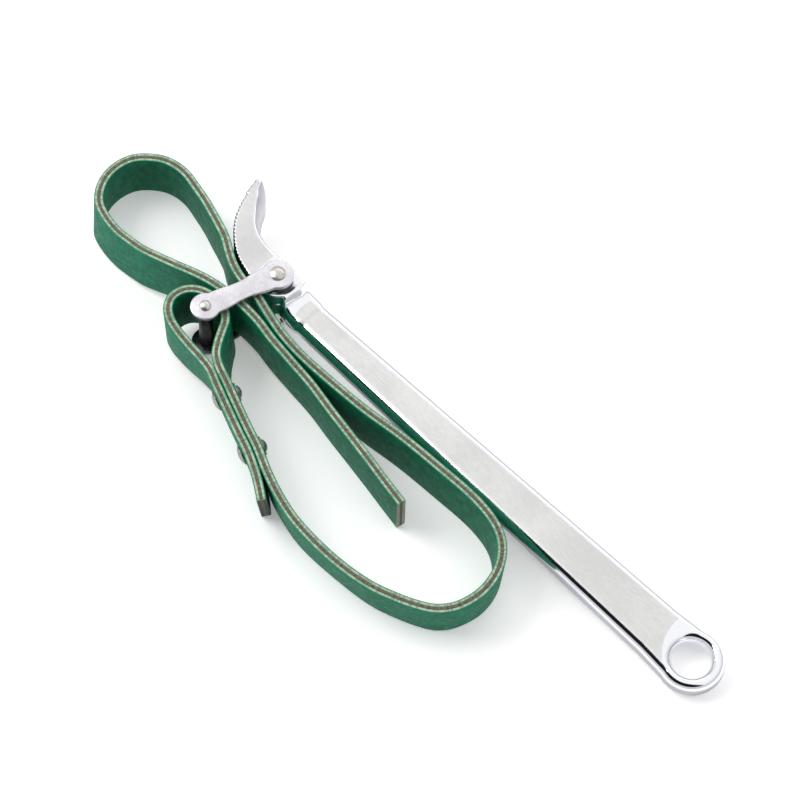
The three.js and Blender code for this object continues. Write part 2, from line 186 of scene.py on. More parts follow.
class PlanMap:
    """A plan distance held on a fine grid and read back between its points."""

    PITCH = 0.25

    def __init__(self, outline: Points, low: Sequence[float], high: Sequence[float],
                 closed: bool = True) -> None:
        """Measures the outline on the grid.

        Args:
            outline: The outline's corners in order, with a value that runs along it as a third column or not.
            low: The grid's lowest x and y.
            high: The grid's highest x and y.
            closed: Whether the outline closes.
        """
        self.low = np.array(low, float)
        xs, ys = (np.arange(a, b + self.PITCH, self.PITCH) for a, b in zip(low, high))
        at = np.stack(np.meshgrid(xs, ys, indexing="ij"), -1).reshape(-1, 2)
        if outline.shape[1] == 2:
            outline = np.column_stack([outline, np.zeros(len(outline))])
        distance, carried = polygon_distance(at, outline, closed)
        self.grid = distance.reshape(len(xs), len(ys))
        self.carried = carried.reshape(len(xs), len(ys))

    def __call__(self, x: Points, y: Points) -> Points:
        """Returns the distances at the given places."""
        return self.read(self.grid, x, y)

    def along(self, x: Points, y: Points) -> Points:
        """Returns the outline's own value nearest to the given places."""
        return self.read(self.carried, x, y)

    def read(self, values: Points, x: Points, y: Points) -> Points:
        """Reads a grid between its points.

        Args:
            values: The grid's values.
            x: The places' x.
            y: The places' y.

        Returns:
            The values there. Outside the grid they are those of its border.
        """
        short_of_end = 1.001
        u = np.clip((x - self.low[0]) / self.PITCH, 0, values.shape[0] - short_of_end)
        v = np.clip((y - self.low[1]) / self.PITCH, 0, values.shape[1] - short_of_end)
        i, j = u.astype(int), v.astype(int)
        s, t = u - i, v - j
        near = values[i, j] * (1 - t) + values[i, j + 1] * t
        far = values[i + 1, j] * (1 - t) + values[i + 1, j + 1] * t
        return near * (1 - s) + far * s


def round_union(a: Points, b: Points, radius: float) -> Points:
    """Joins two solids with a fillet of the radius in the corner between them."""
    corner = np.hypot(np.maximum(radius - a, 0), np.maximum(radius - b, 0))
    return np.maximum(radius, np.minimum(a, b)) - corner


def round_cut(a: Points, b: Points, radius: Points | float) -> Points:
    """Keeps what is inside both solids, and rounds the edge between them to the radius."""
    corner = np.hypot(np.maximum(radius + a, 0), np.maximum(radius + b, 0))
    return np.minimum(-radius, np.maximum(a, b)) + corner


def surface_of(solid: Field, low: Sequence[float], high: Sequence[float],
               pitch: float) -> tuple[Points, Points]:
    """Wraps quads round a distance field, then draws their corners onto its surface.

    Args:
        solid: The field, negative inside.
        low: The lowest corner of the region.
        high: The highest corner of the region.
        pitch: The size of a cell.

    Returns:
        The points, and the quads as rows of four point numbers facing outwards.
    """
    start = np.array(low, float)
    axes = [np.arange(a, b + pitch, pitch) for a, b in zip(low, high)]
    value = solid(np.stack(np.meshgrid(*axes, indexing="ij"), -1).reshape(-1, 3))
    value = value.reshape([len(a) for a in axes])
    inside = value < 0
    corners = [(i, j, k) for i in (0, 1) for j in (0, 1) for k in (0, 1)]
    cells = np.array(value.shape) - 1
    held = sum(inside[i:i + cells[0], j:j + cells[1], k:k + cells[2]].astype(int) for i, j, k in corners)
    place = np.argwhere((held > 0) & (held < len(corners)))
    number = np.full(cells, -1)
    number[tuple(place.T)] = np.arange(len(place))
    total, count = np.zeros((len(place), 3)), np.zeros((len(place), 1))
    unit = np.eye(3, dtype=int)
    for axis in range(3):
        for corner in (c for c in corners if c[axis] == 0):
            a = place + corner
            b = a + unit[axis]
            va, vb = value[tuple(a.T)], value[tuple(b.T)]
            crossed = ((va < 0) != (vb < 0))[:, None]
            share = np.where(crossed[:, 0], va / np.where(va == vb, 1, va - vb), 0)[:, None]
            total += np.where(crossed, a + share * unit[axis], 0)
            count += crossed
    points = start + pitch * total / count
    quads = []
    for axis in range(3):
        u, v = unit[(axis + 1) % 3], unit[(axis + 2) % 3]
        lower = np.moveaxis(inside, axis, 0)[:-1]
        upper = np.moveaxis(inside, axis, 0)[1:]
        at = np.argwhere(np.moveaxis(lower != upper, 0, axis))
        at = at[np.all((at - u - v) >= 0, axis=1) & np.all(at < cells, axis=1)]
        ring = np.stack([number[tuple((at - shift).T)] for shift in (0 * u, u, u + v, v)], 1)
        outward = inside[tuple(at.T)]
        quads.append(np.where(outward[:, None], ring, ring[:, ::-1]))
    return drawn_onto(solid, points, pitch / 3), np.vstack(quads)


def drawn_onto(solid: Field, points: Points, reach: float, rounds: int = 3) -> Points:
    """Draws points onto a distance field's surface, down its slope.

    Args:
        solid: The field.
        points: The points, close to the surface.
        reach: The furthest that a point moves in one round, in any direction.
        rounds: How often they are drawn.

    Returns:
        The points on the surface.
    """
    step = 0.05
    least_slope = 0.3
    for _ in range(rounds):
        here = solid(points)
        ahead_less_behind = [solid(points + step * e) - solid(points - step * e) for e in np.eye(3)]
        slope = np.stack(ahead_less_behind, 1) / (2 * step)
        move = here[:, None] * slope / np.maximum((slope ** 2).sum(1), least_slope)[:, None]
        points = points - np.clip(move, -reach, reach)
    return points


# ---------------------------------------------------------------- mesh helpers

def make_object(name: str, points: Points, faces: Sequence[Sequence[int]], place: Matrix) -> bpy.types.Object:
    """Makes a mesh object whose place is in its points.

    Args:
        name: The piece's name.
        points: Its points, in the frame that place reads.
        faces: Its faces, as point numbers.
        place: The matrix to the row frame.

    Returns:
        The object, smooth, with its hard edges kept.
    """
    mesh = bpy.data.meshes.new(name)
    turn = np.array(place, float)
    moved = np.asarray(points) @ turn[:3, :3].T + turn[:3, 3]
    mesh.from_pydata(moved.tolist(), [], [list(map(int, f)) for f in faces])
    smooth(mesh)
    made = bpy.data.objects.new(name, mesh)
    bpy.context.scene.collection.objects.link(made)
    return made


def smooth(mesh: bpy.types.Mesh, hard: float = 40) -> None:
    """Shades a mesh smooth, except over edges sharper than hard degrees."""
    mesh.validate()
    mesh.shade_smooth()
    mesh.set_sharp_from_angle(angle=math.radians(hard))


def add_layer(made: bpy.types.Object, name: str, values: Points) -> None:
    """Stores one number for each point of a mesh under a name that its material reads."""
    layer = made.data.attributes.new(name, "FLOAT", "POINT")
    layer.data.foreach_set("value", np.asarray(values, np.float32))


def turned(profile: Points, sides: int = 72) -> tuple[Points, list[list[int]]]:
    """Turns a closed profile about Z.

    Args:
        profile: Radius and height pairs, going up the outside. A radius of 0 closes on the axis.
        sides: Steps round the axis.

    Returns:
        The points and the faces.
    """
    angle = np.arange(sides) * 2 * math.pi / sides
    points, rings = [], []
    for r, z in profile:
        if r < 1e-6:
            rings.append([len(points)] * sides)
            points.append((0, 0, z))
        else:
            rings.append(list(range(len(points), len(points) + sides)))
            points.extend(zip(r * np.cos(angle), r * np.sin(angle), np.full(sides, z)))
    faces = []
    closes = profile[0][0] > 1e-6
    pairs = list(zip(rings, rings[1:])) + ([(rings[-1], rings[0])] if closes else [])
    for low, high in pairs:
        for i in range(sides):
            j = (i + 1) % sides
            face = list(dict.fromkeys([low[i], low[j], high[j], high[i]]))
            if len(face) > 2:
                faces.append(face)
    return np.array(points), faces


def rounded_ring(outer: float, inner: float, low: float, high: float, edge: float) -> Points:
    """Draws the profile of a ring or sleeve with its four edges rounded.

    Args:
        outer: Its outer radius.
        inner: Its bore's radius.
        low: The height of its lower face.
        high: The height of its upper face.
        edge: The radius of its edges.

    Returns:
        The profile, for turned.
    """
    quarter = math.pi / 2
    count = 5
    return np.vstack([
        arc((outer - edge, low + edge), edge, -quarter, 0, count),
        arc((outer - edge, high - edge), edge, 0, quarter, count),
        arc((inner + edge, high - edge), edge, quarter, 2 * quarter, count),
        arc((inner + edge, low + edge), edge, 2 * quarter, 3 * quarter, count)])


# ---------------------------------------------------------------- node helpers

class Nodes:
    """A node tree with short calls to add nodes and join them."""

    def __init__(self, tree: bpy.types.NodeTree) -> None:
        """Holds the tree."""
        self.tree = tree

    def add(self, kind: str, settings: dict | None = None, **inputs: object) -> bpy.types.Node:
        """Adds a node.

        Args:
            kind: The node's type name.
            settings: Properties of the node itself.
            inputs: Values or output sockets for its inputs, named as they are, with _ for a space.

        Returns:
            The node.
        """
        node = self.tree.nodes.new(kind)
        for key, value in (settings or {}).items():
            setattr(node, key, value)
        for key, value in inputs.items():
            wanted = key.replace("_", " ").strip().lower()
            open_sockets = [s for s in node.inputs if s.enabled and s.name.lower() == wanted]
            self.feed(open_sockets[0], value)
        return node

    def feed(self, socket: bpy.types.NodeSocket, value: object) -> None:
        """Joins an output to a socket, or sets the socket's own value.

        Args:
            socket: The input socket.
            value: The output socket or the value.
        """
        if isinstance(value, bpy.types.NodeSocket):
            self.tree.links.new(value, socket)
        else:
            socket.default_value = value

    def math(self, operation: str, *values: object) -> bpy.types.NodeSocket:
        """Adds a Math node.

        Args:
            operation: What it works out.
            values: Its inputs, as numbers or output sockets.

        Returns:
            Its output.
        """
        node = self.tree.nodes.new("ShaderNodeMath")
        node.operation = operation
        for socket, value in zip(node.inputs, values):
            self.feed(socket, value)
        return node.outputs[0]

    def ramp(self, value: bpy.types.NodeSocket, low: float, high: float,
             to_low: float = 0.0, to_high: float = 1.0) -> bpy.types.NodeSocket:
        """Maps a value smoothly from one range to another.

        Args:
            value: The value.
            low: Where the rise starts.
            high: Where it ends.
            to_low: The result up to its start.
            to_high: The result from its end on.

        Returns:
            The mapped value.
        """
        return self.add("ShaderNodeMapRange", {"interpolation_type": "SMOOTHSTEP"}, Value=value, From_Min=low,
                        From_Max=high, To_Min=to_low, To_Max=to_high).outputs["Result"]

    def mix(self, share: object, a: object, b: object, blend: str = "MIX") -> bpy.types.NodeSocket:
        """Mixes two colours.

        Args:
            share: How much of the second colour, from 0 to 1.
            a: The first colour.
            b: The second colour.
            blend: How they mix.

        Returns:
            The mixed colour.
        """
        node = self.add("ShaderNodeMix", {"data_type": "RGBA", "blend_type": blend})
        factor, first, second = 0, 6, 7
        for index, value in ((factor, share), (first, a), (second, b)):
            self.feed(node.inputs[index], value)
        return node.outputs[2]

    def noise(self, vector: object, scale: float, detail: float = 3.0) -> bpy.types.NodeSocket:
        """Adds a noise texture and returns its grey value."""
        return self.add("ShaderNodeTexNoise", Vector=vector, Scale=scale, Detail=detail,
                        Roughness=0.55).outputs["Fac"]

    def layer(self, label: str) -> bpy.types.NodeSocket:
        """Returns a mesh's named layer of numbers."""
        return self.add("ShaderNodeAttribute", {"attribute_name": label}).outputs["Fac"]


def colour(red: float, green: float, blue: float) -> tuple[float, float, float, float]:
    """Turns an sRGB colour into a linear one.

    Args:
        red: Its red, from 0 to 255.
        green: Its green.
        blue: Its blue.

    Returns:
        The linear colour, with an alpha of 1.
    """
    def linear(v: float) -> float:
        """Returns one channel in linear light."""
        v /= 255
        return v / 12.92 if v <= 0.04045 else ((v + 0.055) / 1.055) ** 2.4
    return (linear(red), linear(green), linear(blue), 1.0)


def grain_group() -> bpy.types.NodeTree:
    """Builds the shared grain: fine lines or specks drawn out along chosen directions.

    Returns:
        The group, with inputs Vector, Spread, Scale and Soft, and outputs Value and Height.
    """
    tree = bpy.data.node_groups.new("steel_grain", "ShaderNodeTree")
    for name, kind in (("Vector", "NodeSocketVector"), ("Spread", "NodeSocketVector"),
                       ("Scale", "NodeSocketFloat"), ("Soft", "NodeSocketFloat")):
        tree.interface.new_socket(name, in_out="INPUT", socket_type=kind)
    for name in ("Value", "Height"):
        tree.interface.new_socket(name, in_out="OUTPUT", socket_type="NodeSocketFloat")
    n = Nodes(tree)
    given = n.add("NodeGroupInput")
    drawn = n.add("ShaderNodeVectorMath", {"operation": "MULTIPLY"})
    n.feed(drawn.inputs[0], given.outputs["Vector"])
    n.feed(drawn.inputs[1], given.outputs["Spread"])
    fine = n.add("ShaderNodeTexNoise", Vector=drawn.outputs[0], Scale=given.outputs["Scale"],
                 Detail=4.0).outputs["Fac"]
    broad = n.add("ShaderNodeTexNoise", Vector=given.outputs["Vector"], Scale=given.outputs["Soft"],
                  Detail=2.0).outputs["Fac"]
    out = n.add("NodeGroupOutput")
    n.feed(out.inputs["Value"], n.math("ADD", n.math("MULTIPLY", fine, 0.6), n.math("MULTIPLY", broad, 0.4)))
    n.feed(out.inputs["Height"], fine)
    return tree


class Effects:
    """The node groups that several finishes share, each built once."""

    _grain: bpy.types.NodeTree | None = None

    @classmethod
    def grain(cls) -> bpy.types.NodeTree:
        """Returns the grain group."""
        if cls._grain is None:
            cls._grain = grain_group()
        return cls._grain


def new_material(name: str) -> tuple[bpy.types.Material, Nodes, bpy.types.Node]:
    """Makes an empty node material.

    Args:
        name: The material's name.

    Returns:
        The material, its tree and its Principled shader.
    """
    material = bpy.data.materials.new(name)
    material.use_nodes = True
    nodes = Nodes(material.node_tree)
    shader = next(n for n in material.node_tree.nodes if n.type == "BSDF_PRINCIPLED")
    return material, nodes, shader


def place_grain(n: Nodes, vector: bpy.types.NodeSocket, spread: Sequence[float], scale: float,
                soft: float) -> bpy.types.Node:
    """Places the shared grain group in a material.

    Args:
        n: The material's tree.
        vector: Where the grain is read.
        spread: How much finer the grain is along each direction.
        scale: The fine grain's scale.
        soft: The broad clouds' scale.

    Returns:
        The group's node.
    """
    node = n.tree.nodes.new("ShaderNodeGroup")
    node.node_tree = Effects.grain()
    for name, value in (("Vector", vector), ("Spread", tuple(spread)), ("Scale", scale), ("Soft", soft)):
        n.feed(node.inputs[name], value)
    return node


def bump(n: Nodes, shader: bpy.types.Node, height: bpy.types.NodeSocket, strength: float,
         depth: float) -> None:
    """Raises a height into a shader's normal.

    Args:
        n: The material's tree.
        shader: The shader.
        height: The height, from 0 to 1.
        strength: How strongly it shows.
        depth: Its depth in metres.
    """
    node = n.add("ShaderNodeBump", Strength=strength, Distance=depth, Height=height)
    n.feed(shader.inputs["Normal"], node.outputs[0])


# ---------------------------------------------------------------- finishes

@dataclass(frozen=True)
class PlatedSteel:
    """Bright plate that is satin where a panel was ground before plating, with painted shade darkening its
    sides and its teeth.
    """

    name: str = "bright_chrome"
    bright: tuple = colour(238, 239, 242)
    satin: tuple = colour(214, 214, 212)
    # flank: painted shade, a darker tone standing for the shaded floor that the bar's sides and the horn's
    # back reflect
    flank: tuple = colour(176, 175, 182)
    # teeth: painted shade, a dark tone standing for the shadow between the tooth walls
    teeth: tuple = colour(96, 96, 104)
    bright_rough: float = 0.1
    satin_rough: float = 0.36
    flank_dull: float = 0.8
    panel_edge: float = 0.18
    panel_wander: float = 0.5
    scratch: float = 0.00006

    def build(self) -> bpy.types.Material:
        """Builds the material.

        Returns:
            The material. It reads the layer panel, in millimetres inside the panel's edge, and flank, which
            is 1 on the duller sides, where a darker tone is painted shade, and 2 among the teeth, where a
            still darker tone is painted shade.
        """
        material, n, shader = new_material(self.name)
        at = n.add("ShaderNodeTexCoord").outputs["Object"]
        wander = n.math("MULTIPLY", n.math("SUBTRACT", n.noise(at, 260.0), 0.5), self.panel_wander)
        panel = n.ramp(n.math("ADD", n.layer("panel"), wander), -self.panel_edge, self.panel_edge)
        grain = place_grain(n, at, (0.12, 1.0, 1.0), 2600.0, 42.0).outputs
        ground = n.mix(1.0, self.satin, n.ramp(grain["Value"], 0.35, 0.65, 0.9, 1.04), "MULTIPLY")
        side = n.layer("flank")
        faced = n.mix(panel, self.bright, ground)
        flanked = n.mix(n.ramp(side, 0.0, 1.0), faced, self.flank)
        # The flank tone on the sides and horn is painted shade, the reflection of the shaded floor; the teeth
        # tone is painted shade in the tooth gaps.
        n.feed(shader.inputs["Base Color"], n.mix(n.ramp(side, 1.2, 1.9), flanked, self.teeth))
        shader.inputs["Metallic"].default_value = 1.0
        fine = n.ramp(grain["Value"], 0.3, 0.7, -0.05, 0.06)
        dull = n.math("MAXIMUM", panel, n.math("MULTIPLY", n.ramp(side, 0.2, 1.0), self.flank_dull))
        more = n.math("MULTIPLY", dull, self.satin_rough - self.bright_rough)
        rough = n.math("ADD", more, self.bright_rough)
        n.feed(shader.inputs["Roughness"], n.math("ADD", rough, n.math("MULTIPLY", fine, panel)))
        bump(n, shader, n.math("MULTIPLY", grain["Height"], panel), 0.35, self.scratch)
        return material


@dataclass(frozen=True)
class SatinPlate:
    """Pressed or headed steel with a satin plate and brighter worn places."""

    name: str
    tone: tuple
    worn: tuple
    rough: float
    dent: float = 0.00004

    def build(self) -> bpy.types.Material:
        """Builds the material.

        Returns:
            The material.
        """
        material, n, shader = new_material(self.name)
        at = n.add("ShaderNodeTexCoord").outputs["Object"]
        grain = place_grain(n, at, (1.0, 1.0, 0.4), 1500.0, 160.0).outputs
        n.feed(shader.inputs["Base Color"], n.mix(n.ramp(grain["Value"], 0.38, 0.66), self.tone, self.worn))
        shader.inputs["Metallic"].default_value = 1.0
        rough = n.ramp(grain["Value"], 0.3, 0.7, self.rough - 0.06, self.rough + 0.07)
        n.feed(shader.inputs["Roughness"], rough)
        bump(n, shader, grain["Height"], 0.4, self.dent)
        return material


@dataclass(frozen=True)
class BlackOxide:
    """Blackened steel with a dull shine."""

    name: str = "black_oxide"
    tone: tuple = colour(40, 40, 43)
    rubbed: tuple = colour(84, 84, 86)
    dent: float = 0.00004

    def build(self) -> bpy.types.Material:
        """Builds the material.

        Returns:
            The material.
        """
        material, n, shader = new_material(self.name)
        at = n.add("ShaderNodeTexCoord").outputs["Object"]
        grain = place_grain(n, at, (1.0, 1.0, 0.15), 1400.0, 240.0).outputs
        n.feed(shader.inputs["Base Color"], n.mix(n.ramp(grain["Value"], 0.48, 0.7), self.tone, self.rubbed))
        shader.inputs["Metallic"].default_value = 0.85
        n.feed(shader.inputs["Roughness"], n.ramp(grain["Value"], 0.3, 0.7, 0.28, 0.45))
        bump(n, shader, grain["Height"], 0.3, self.dent)
        return material


@dataclass(frozen=True)
class BeltRubber:
    """Green rubber on a fine weave, with the paler cut edge of the ply."""

    name: str = "green_belt_face"
    tone: tuple = colour(20, 124, 88)
    deep: tuple = colour(10, 96, 68)
    teal: tuple = colour(22, 104, 92)
    edge: tuple = colour(176, 194, 170)
    edge_dark: tuple = colour(132, 158, 134)
    charcoal: tuple = colour(58, 62, 58)
    putty: tuple = colour(150, 150, 134)
    thread: float = 0.0009
    cut: float = 0.00035
    skin: tuple = (0.0014, 0.0019)
    end_face: tuple = (0.0001, 0.0003)
    pile: float = 0.00012

    def build(self, half_width: float, length: float) -> bpy.types.Material:
        """Builds the material.

        Args:
            half_width: Half the ply's width in metres, where its cut edge is.
            length: The belt's length in metres.

        Returns:
            The material. It reads the layers run, across and depth, in metres along, over and through the
            belt.
        """
        material, n, shader = new_material(self.name)
        at = n.add("ShaderNodeTexCoord").outputs["Object"]
        run, across = n.layer("run"), n.layer("across")
        turns = 2 * math.pi / self.thread
        weft, warp = (n.math("SINE", n.math("MULTIPLY", way, turns)) for way in (run, across))
        weave = n.math("MULTIPLY", weft, warp)
        belt = n.add("ShaderNodeCombineXYZ", X=run, Y=across).outputs[0]
        fleck = n.ramp(n.noise(belt, 1500.0, 2.0), 0.3, 0.75)
        face = n.mix(n.ramp(n.noise(belt, 210.0, 4.0), 0.36, 0.68), self.deep, self.tone)
        face = n.mix(n.math("MULTIPLY", fleck, 0.42), face, self.teal)
        in_weave = n.math("MULTIPLY", n.math("ADD", n.math("MULTIPLY", weave, 0.5), 0.5), 0.28)
        face = n.mix(in_weave, face, self.deep)
        paler = n.mix(n.ramp(n.noise(belt, 900.0), 0.4, 0.62), self.edge_dark, self.edge)
        paler = n.mix(n.ramp(n.math("ABSOLUTE", n.layer("depth")), *self.skin), paler, self.tone)
        from_edge = n.math("SUBTRACT", half_width, n.math("ABSOLUTE", across))
        sides = n.mix(n.ramp(from_edge, 0.25 * self.cut, self.cut, 1.0, 0.0), face, paler)
        at_free_end = n.ramp(run, *self.end_face, 1.0, 0.0)
        at_tail = n.ramp(run, length - self.end_face[1], length - self.end_face[0])
        n.feed(shader.inputs["Base Color"],
               n.mix(at_tail, n.mix(at_free_end, sides, self.putty), self.charcoal))
        n.feed(shader.inputs["Roughness"], n.ramp(n.noise(at, 500.0), 0.3, 0.7, 0.5, 0.68))
        shader.inputs["Specular IOR Level"].default_value = 0.16
        height = n.math("ADD", n.math("MULTIPLY", weave, 0.5), n.math("MULTIPLY", fleck, 0.7))
        bump(n, shader, height, 0.6, self.pile)
        return material


@dataclass(frozen=True)
class BeltCord:
    """The belt's core: brown-grey cords that show as short slanted strokes on the cut edge."""

    name: str = "belt_cord_core"
    tone: tuple = colour(116, 114, 98)
    dark: tuple = colour(80, 80, 68)
    pale: tuple = colour(140, 138, 122)
    cord: float = 0.0008
    relief: float = 0.00015

    def build(self) -> bpy.types.Material:
        """Builds the material.

        Returns:
            The material. It reads the layers run and across.
        """
        material, n, shader = new_material(self.name)
        run, across = n.layer("run"), n.layer("across")
        belt = n.add("ShaderNodeCombineXYZ", X=run, Y=across).outputs[0]
        twist = n.math("SINE", n.math("MULTIPLY", n.math("ADD", run, across), 2 * math.pi / self.cord))
        spots = n.ramp(n.noise(belt, 700.0, 4.0), 0.35, 0.65)
        base = n.mix(spots, self.dark, self.tone)
        n.feed(shader.inputs["Base Color"], n.mix(n.ramp(twist, 0.2, 1.0, 0.0, 0.3), base, self.pale))
        shader.inputs["Roughness"].default_value = 0.85
        shader.inputs["Specular IOR Level"].default_value = 0.16
        bump(n, shader, n.math("ADD", twist, spots), 0.6, self.relief)
        return material


@dataclass
class Finishes:
    """Every finish of the wrench, built once, with darker copies whose tones are painted shade."""

    chrome: bpy.types.Material = field(init=False)
    nickel: bpy.types.Material = field(init=False)
    shade_painted_nickel: bpy.types.Material = field(init=False)
    rivet: bpy.types.Material = field(init=False)
    lap_rivet: bpy.types.Material = field(init=False)
    black: bpy.types.Material = field(init=False)

    def __post_init__(self) -> None:
        """Builds the materials."""
        self.chrome = PlatedSteel().build()
        plate = SatinPlate
        self.nickel = plate("satin_nickel_plate", colour(208, 205, 210), colour(226, 224, 228), 0.33).build()
        # The lower plate's darker copy of the satin nickel: its tone is painted shade, for the shade it lies
        # in under the upper plate and the belt.
        self.shade_painted_nickel = plate("shade_painted_nickel_plate", colour(96, 96, 100), colour(132, 132, 136), 0.24).build()
        self.rivet = plate("rivet_plate", colour(190, 187, 180), colour(212, 210, 204), 0.33).build()
        # The lap rivets' darker, greener copy of the rivet plate: painted shade, and a painted green
        # reflection of the belt they sit against.
        self.lap_rivet = plate("painted_shade_rivet_plate", colour(118, 120, 114), colour(176, 178, 172), 0.34).build()
        self.black = BlackOxide().build()


def dress(piece: bpy.types.Object, material: bpy.types.Material | None, slot: Slot, *nodes: str) -> None:
    """Gives a piece its material, and lets it stand for CAD nodes.

    Args:
        piece: The piece.
        material: Its material, or None where its tree has set it.
        slot: The record's slot; not used.
        nodes: The CAD nodes that it stands for.
    """
    if material is not None:
        piece.data.materials.clear()
        piece.data.materials.append(material)
    if nodes:
        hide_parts(*nodes)
    LOG.info("%s: %d faces", piece.name, len(piece.data.polygons))


# ---------------------------------------------------------------- forged handle

@dataclass
class ForgedHandle:
    """The forging: bar, hanging hole, flare, boss and serrated horn, all one skin."""

    tool: ToolFrame
    finishes: Finishes
    shift: float = 0.6
    bar_thick: float = 10.5
    bar_start: float = 10.8
    bar_start_half: float = 8.2
    bar_end_half: float = 12.6
    bar_taper_end: float = 226.0
    bar_edge: float = 4.3
    hole_x: float = 244.0
    hole_r: float = 8.4
    hole_rim: float = 3.8
    end_r: float = 14.4
    head_thick: float = 22.8
    head_border: float = 15.5
    horn_slope: float = 1.25
    horn_edge: float = 0.3
    boss_edge: float = 0.4
    flare_length: float = 8.5
    flare_inset: float = 0.6
    flare_edge: float = 2.4
    head_fillet: float = 2.2
    bar_fillet: float = 2.6
    boss_r: float = 9.0
    bore_r: float = 2.85
    tooth_pitch: float = 1.9
    tooth_depth: float = 0.55
    pitch: float = 0.55
    low: tuple = (-46.0, -15.0, -12.6)
    high: tuple = (261.0, 32.0, 12.6)

    def bar_outline(self) -> Points:
        """Draws the bar's plan, with its round end, and its root inside the boss.

        Returns:
            The plan's corners, anticlockwise.
        """
        lean = 0.6 * math.acos(self.bar_end_half / self.end_r)
        y = self.shift
        root_half = 5
        end = arc((self.hole_x, y), self.end_r, -math.pi / 2 - lean, math.pi / 2 + lean, 60)
        return np.vstack([
            [[self.bar_start, y - self.bar_start_half], [self.bar_taper_end, y - self.bar_end_half]], end,
            [[self.bar_taper_end, y + self.bar_end_half], [self.bar_start, y + self.bar_start_half],
             [0, y + root_half], [0, y - root_half]]])

    def serrated_edge(self) -> Points:
        """Draws the horn's toothed face.

        Returns:
            Its points, from the boss out to the horn's tip.
        """
        face = smooth_run([
            (-10.4, -7.6), (-16.3, -6), (-20.9, -4.4), (-25.6, -1.6), (-30.3, 2.2), (-34.4, 6.5),
            (-37.2, 10.8), (-39.2, 14.8), (-40.8, 18.6), (-42, 22.2), (-42.9, 26.2)], 12)
        run = np.concatenate([[0], np.cumsum(np.hypot(*np.diff(face, axis=0).T))])
        teeth = round(run[-1] / self.tooth_pitch)
        stops = (np.arange(2 * teeth) + 0.5) / (2 * teeth) * run[-1]
        at = np.column_stack([np.interp(stops, run, face[:, i]) for i in (0, 1)])
        along = np.gradient(at, axis=0)
        along /= np.linalg.norm(along, axis=1)[:, None]
        depth = np.where(np.arange(len(at)) % 2, self.tooth_depth, 0)[:, None]
        return at + depth * np.column_stack([along[:, 1], -along[:, 0]])

    def horn_back(self) -> Points:
        """Draws the horn's back.

        Returns:
            Its points from the tip to the boss, each with how far the sloping part comes in there.
        """
        return smooth_run([
            (-43.2, 28.3, 0.2), (-42, 29.7, 0.35), (-40.4, 30, 1.0), (-38.6, 29.4, 2.3), (-36.2, 27.8, 3.4),
            (-33.8, 25, 3.2), (-31.9, 21.4, 2.7), (-29.4, 17.8, 2.2), (-26.3, 14.2, 1.8), (-22.9, 11.4, 1.2),
            (-18.8, 9.5, 0.8), (-14.5, 8.6, 0.6), (-7.6, 8.3, 0.5)], 6)

    def head_outline(self) -> Points:
        """Returns the plan of the boss and the horn."""
        boss = arc((0, 0), self.boss_r, -0.2, -2.35, 50)
        shoulder = smooth_run([(-7.6, 8.3), (6, 8.4), (9.2, 7.2), (10.6, 3.5)], 8)[1:]
        return np.vstack([boss, self.serrated_edge(), self.horn_back()[:, :2], shoulder])

    def flare_outline(self) -> Points:
        """Draws the side view of the forged flare between the boss's face and the bar's flat.

        Returns:
            Its corners, as rows of x and height over the forging's mid-plane.
        """
        top = self.head_thick / 2 - self.flare_inset
        foot = self.bar_thick / 2 - self.flare_inset
        root, below = 3, -3
        t = np.linspace(0, 1, 24)[:, None]
        leave = (9.3, top)
        bend = (self.bar_start + 0.4, foot + 0.2)
        end = (self.bar_start + self.flare_length, foot)
        sweep = (1 - t) ** 2 * leave + 2 * t * (1 - t) * np.array(bend) + t * t * np.array(end)
        return np.vstack([[(end[0], below)], sweep[::-1], [(root, below), (root, top)]])

    def measure(self) -> None:
        """Measures the plan distances that the solid is put together from."""
        low, high = self.low[:2], self.high[:2]
        head_high = (16, high[1])
        self.bar_plan = PlanMap(self.bar_outline(), low, high)
        self.head_plan = PlanMap(self.head_outline(), low, head_high)
        self.back_line = PlanMap(self.horn_back(), low, head_high, closed=False)
        self.flare_side = PlanMap(self.flare_outline(), (0, -4), (24, 14))

    def solid(self, at: Points) -> Points:
        """Measures the whole forging.

        Args:
            at: The places, as rows of x, y and z.

        Returns:
            The distances to its skin, negative inside.
        """
        x, y, z = at.T
        tall = np.abs(z)
        bar = round_cut(self.bar_plan(x, y), tall - self.bar_thick / 2, self.bar_edge)
        bar = round_cut(bar, self.hole_r - self.from_hole(x, y), self.hole_rim)
        flare_wide = np.abs(y - self.shift) - self.bar_start_half + self.flare_inset
        flare = round_cut(self.flare_side(x, tall), flare_wide, self.flare_edge)
        head = round_union(self.head_solid(x, y, tall), flare, self.head_fillet)
        return np.maximum(round_union(head, bar, self.bar_fillet), self.bore_r - np.hypot(x, y))

    def from_hole(self, x: Points, y: Points) -> Points:
        """Returns the distance in plan from the hanging hole's centre."""
        return np.hypot(x - self.hole_x, y - self.shift)

    def head_distance(self, x: Points, y: Points) -> Points:
        """Returns the plan distance to the head's outline, held level past the head."""
        return self.head_plan(np.minimum(x, self.head_border), y)

    def down_the_back(self, x: Points, y: Points) -> Points:
        """Returns how far below the horn's ridge each place is, in plan, down its sloping back."""
        return self.back_line.along(x, y) - self.back_line(x, y)

    def head_solid(self, x: Points, y: Points, tall: Points) -> Points:
        """Measures the boss and horn. The horn's back is forged away below a ridge, more so towards its tip.

        Args:
            x: The places' x.
            y: The places' y.
            tall: Their distance from the forging's mid-plane.

        Returns:
            The distances, negative inside.
        """
        fall = self.horn_slope * self.down_the_back(x, y)
        slope = (tall - self.head_thick / 2 + fall) / math.hypot(1, self.horn_slope)
        top = np.maximum(tall - self.head_thick / 2, slope)
        softer = 0.55 * np.maximum(self.back_line.along(x, y) - 0.5, 0)
        edge = self.horn_edge + self.boss_edge * smoothstep(x, -14, -6) + softer
        return round_cut(self.head_distance(x, y), top, edge)

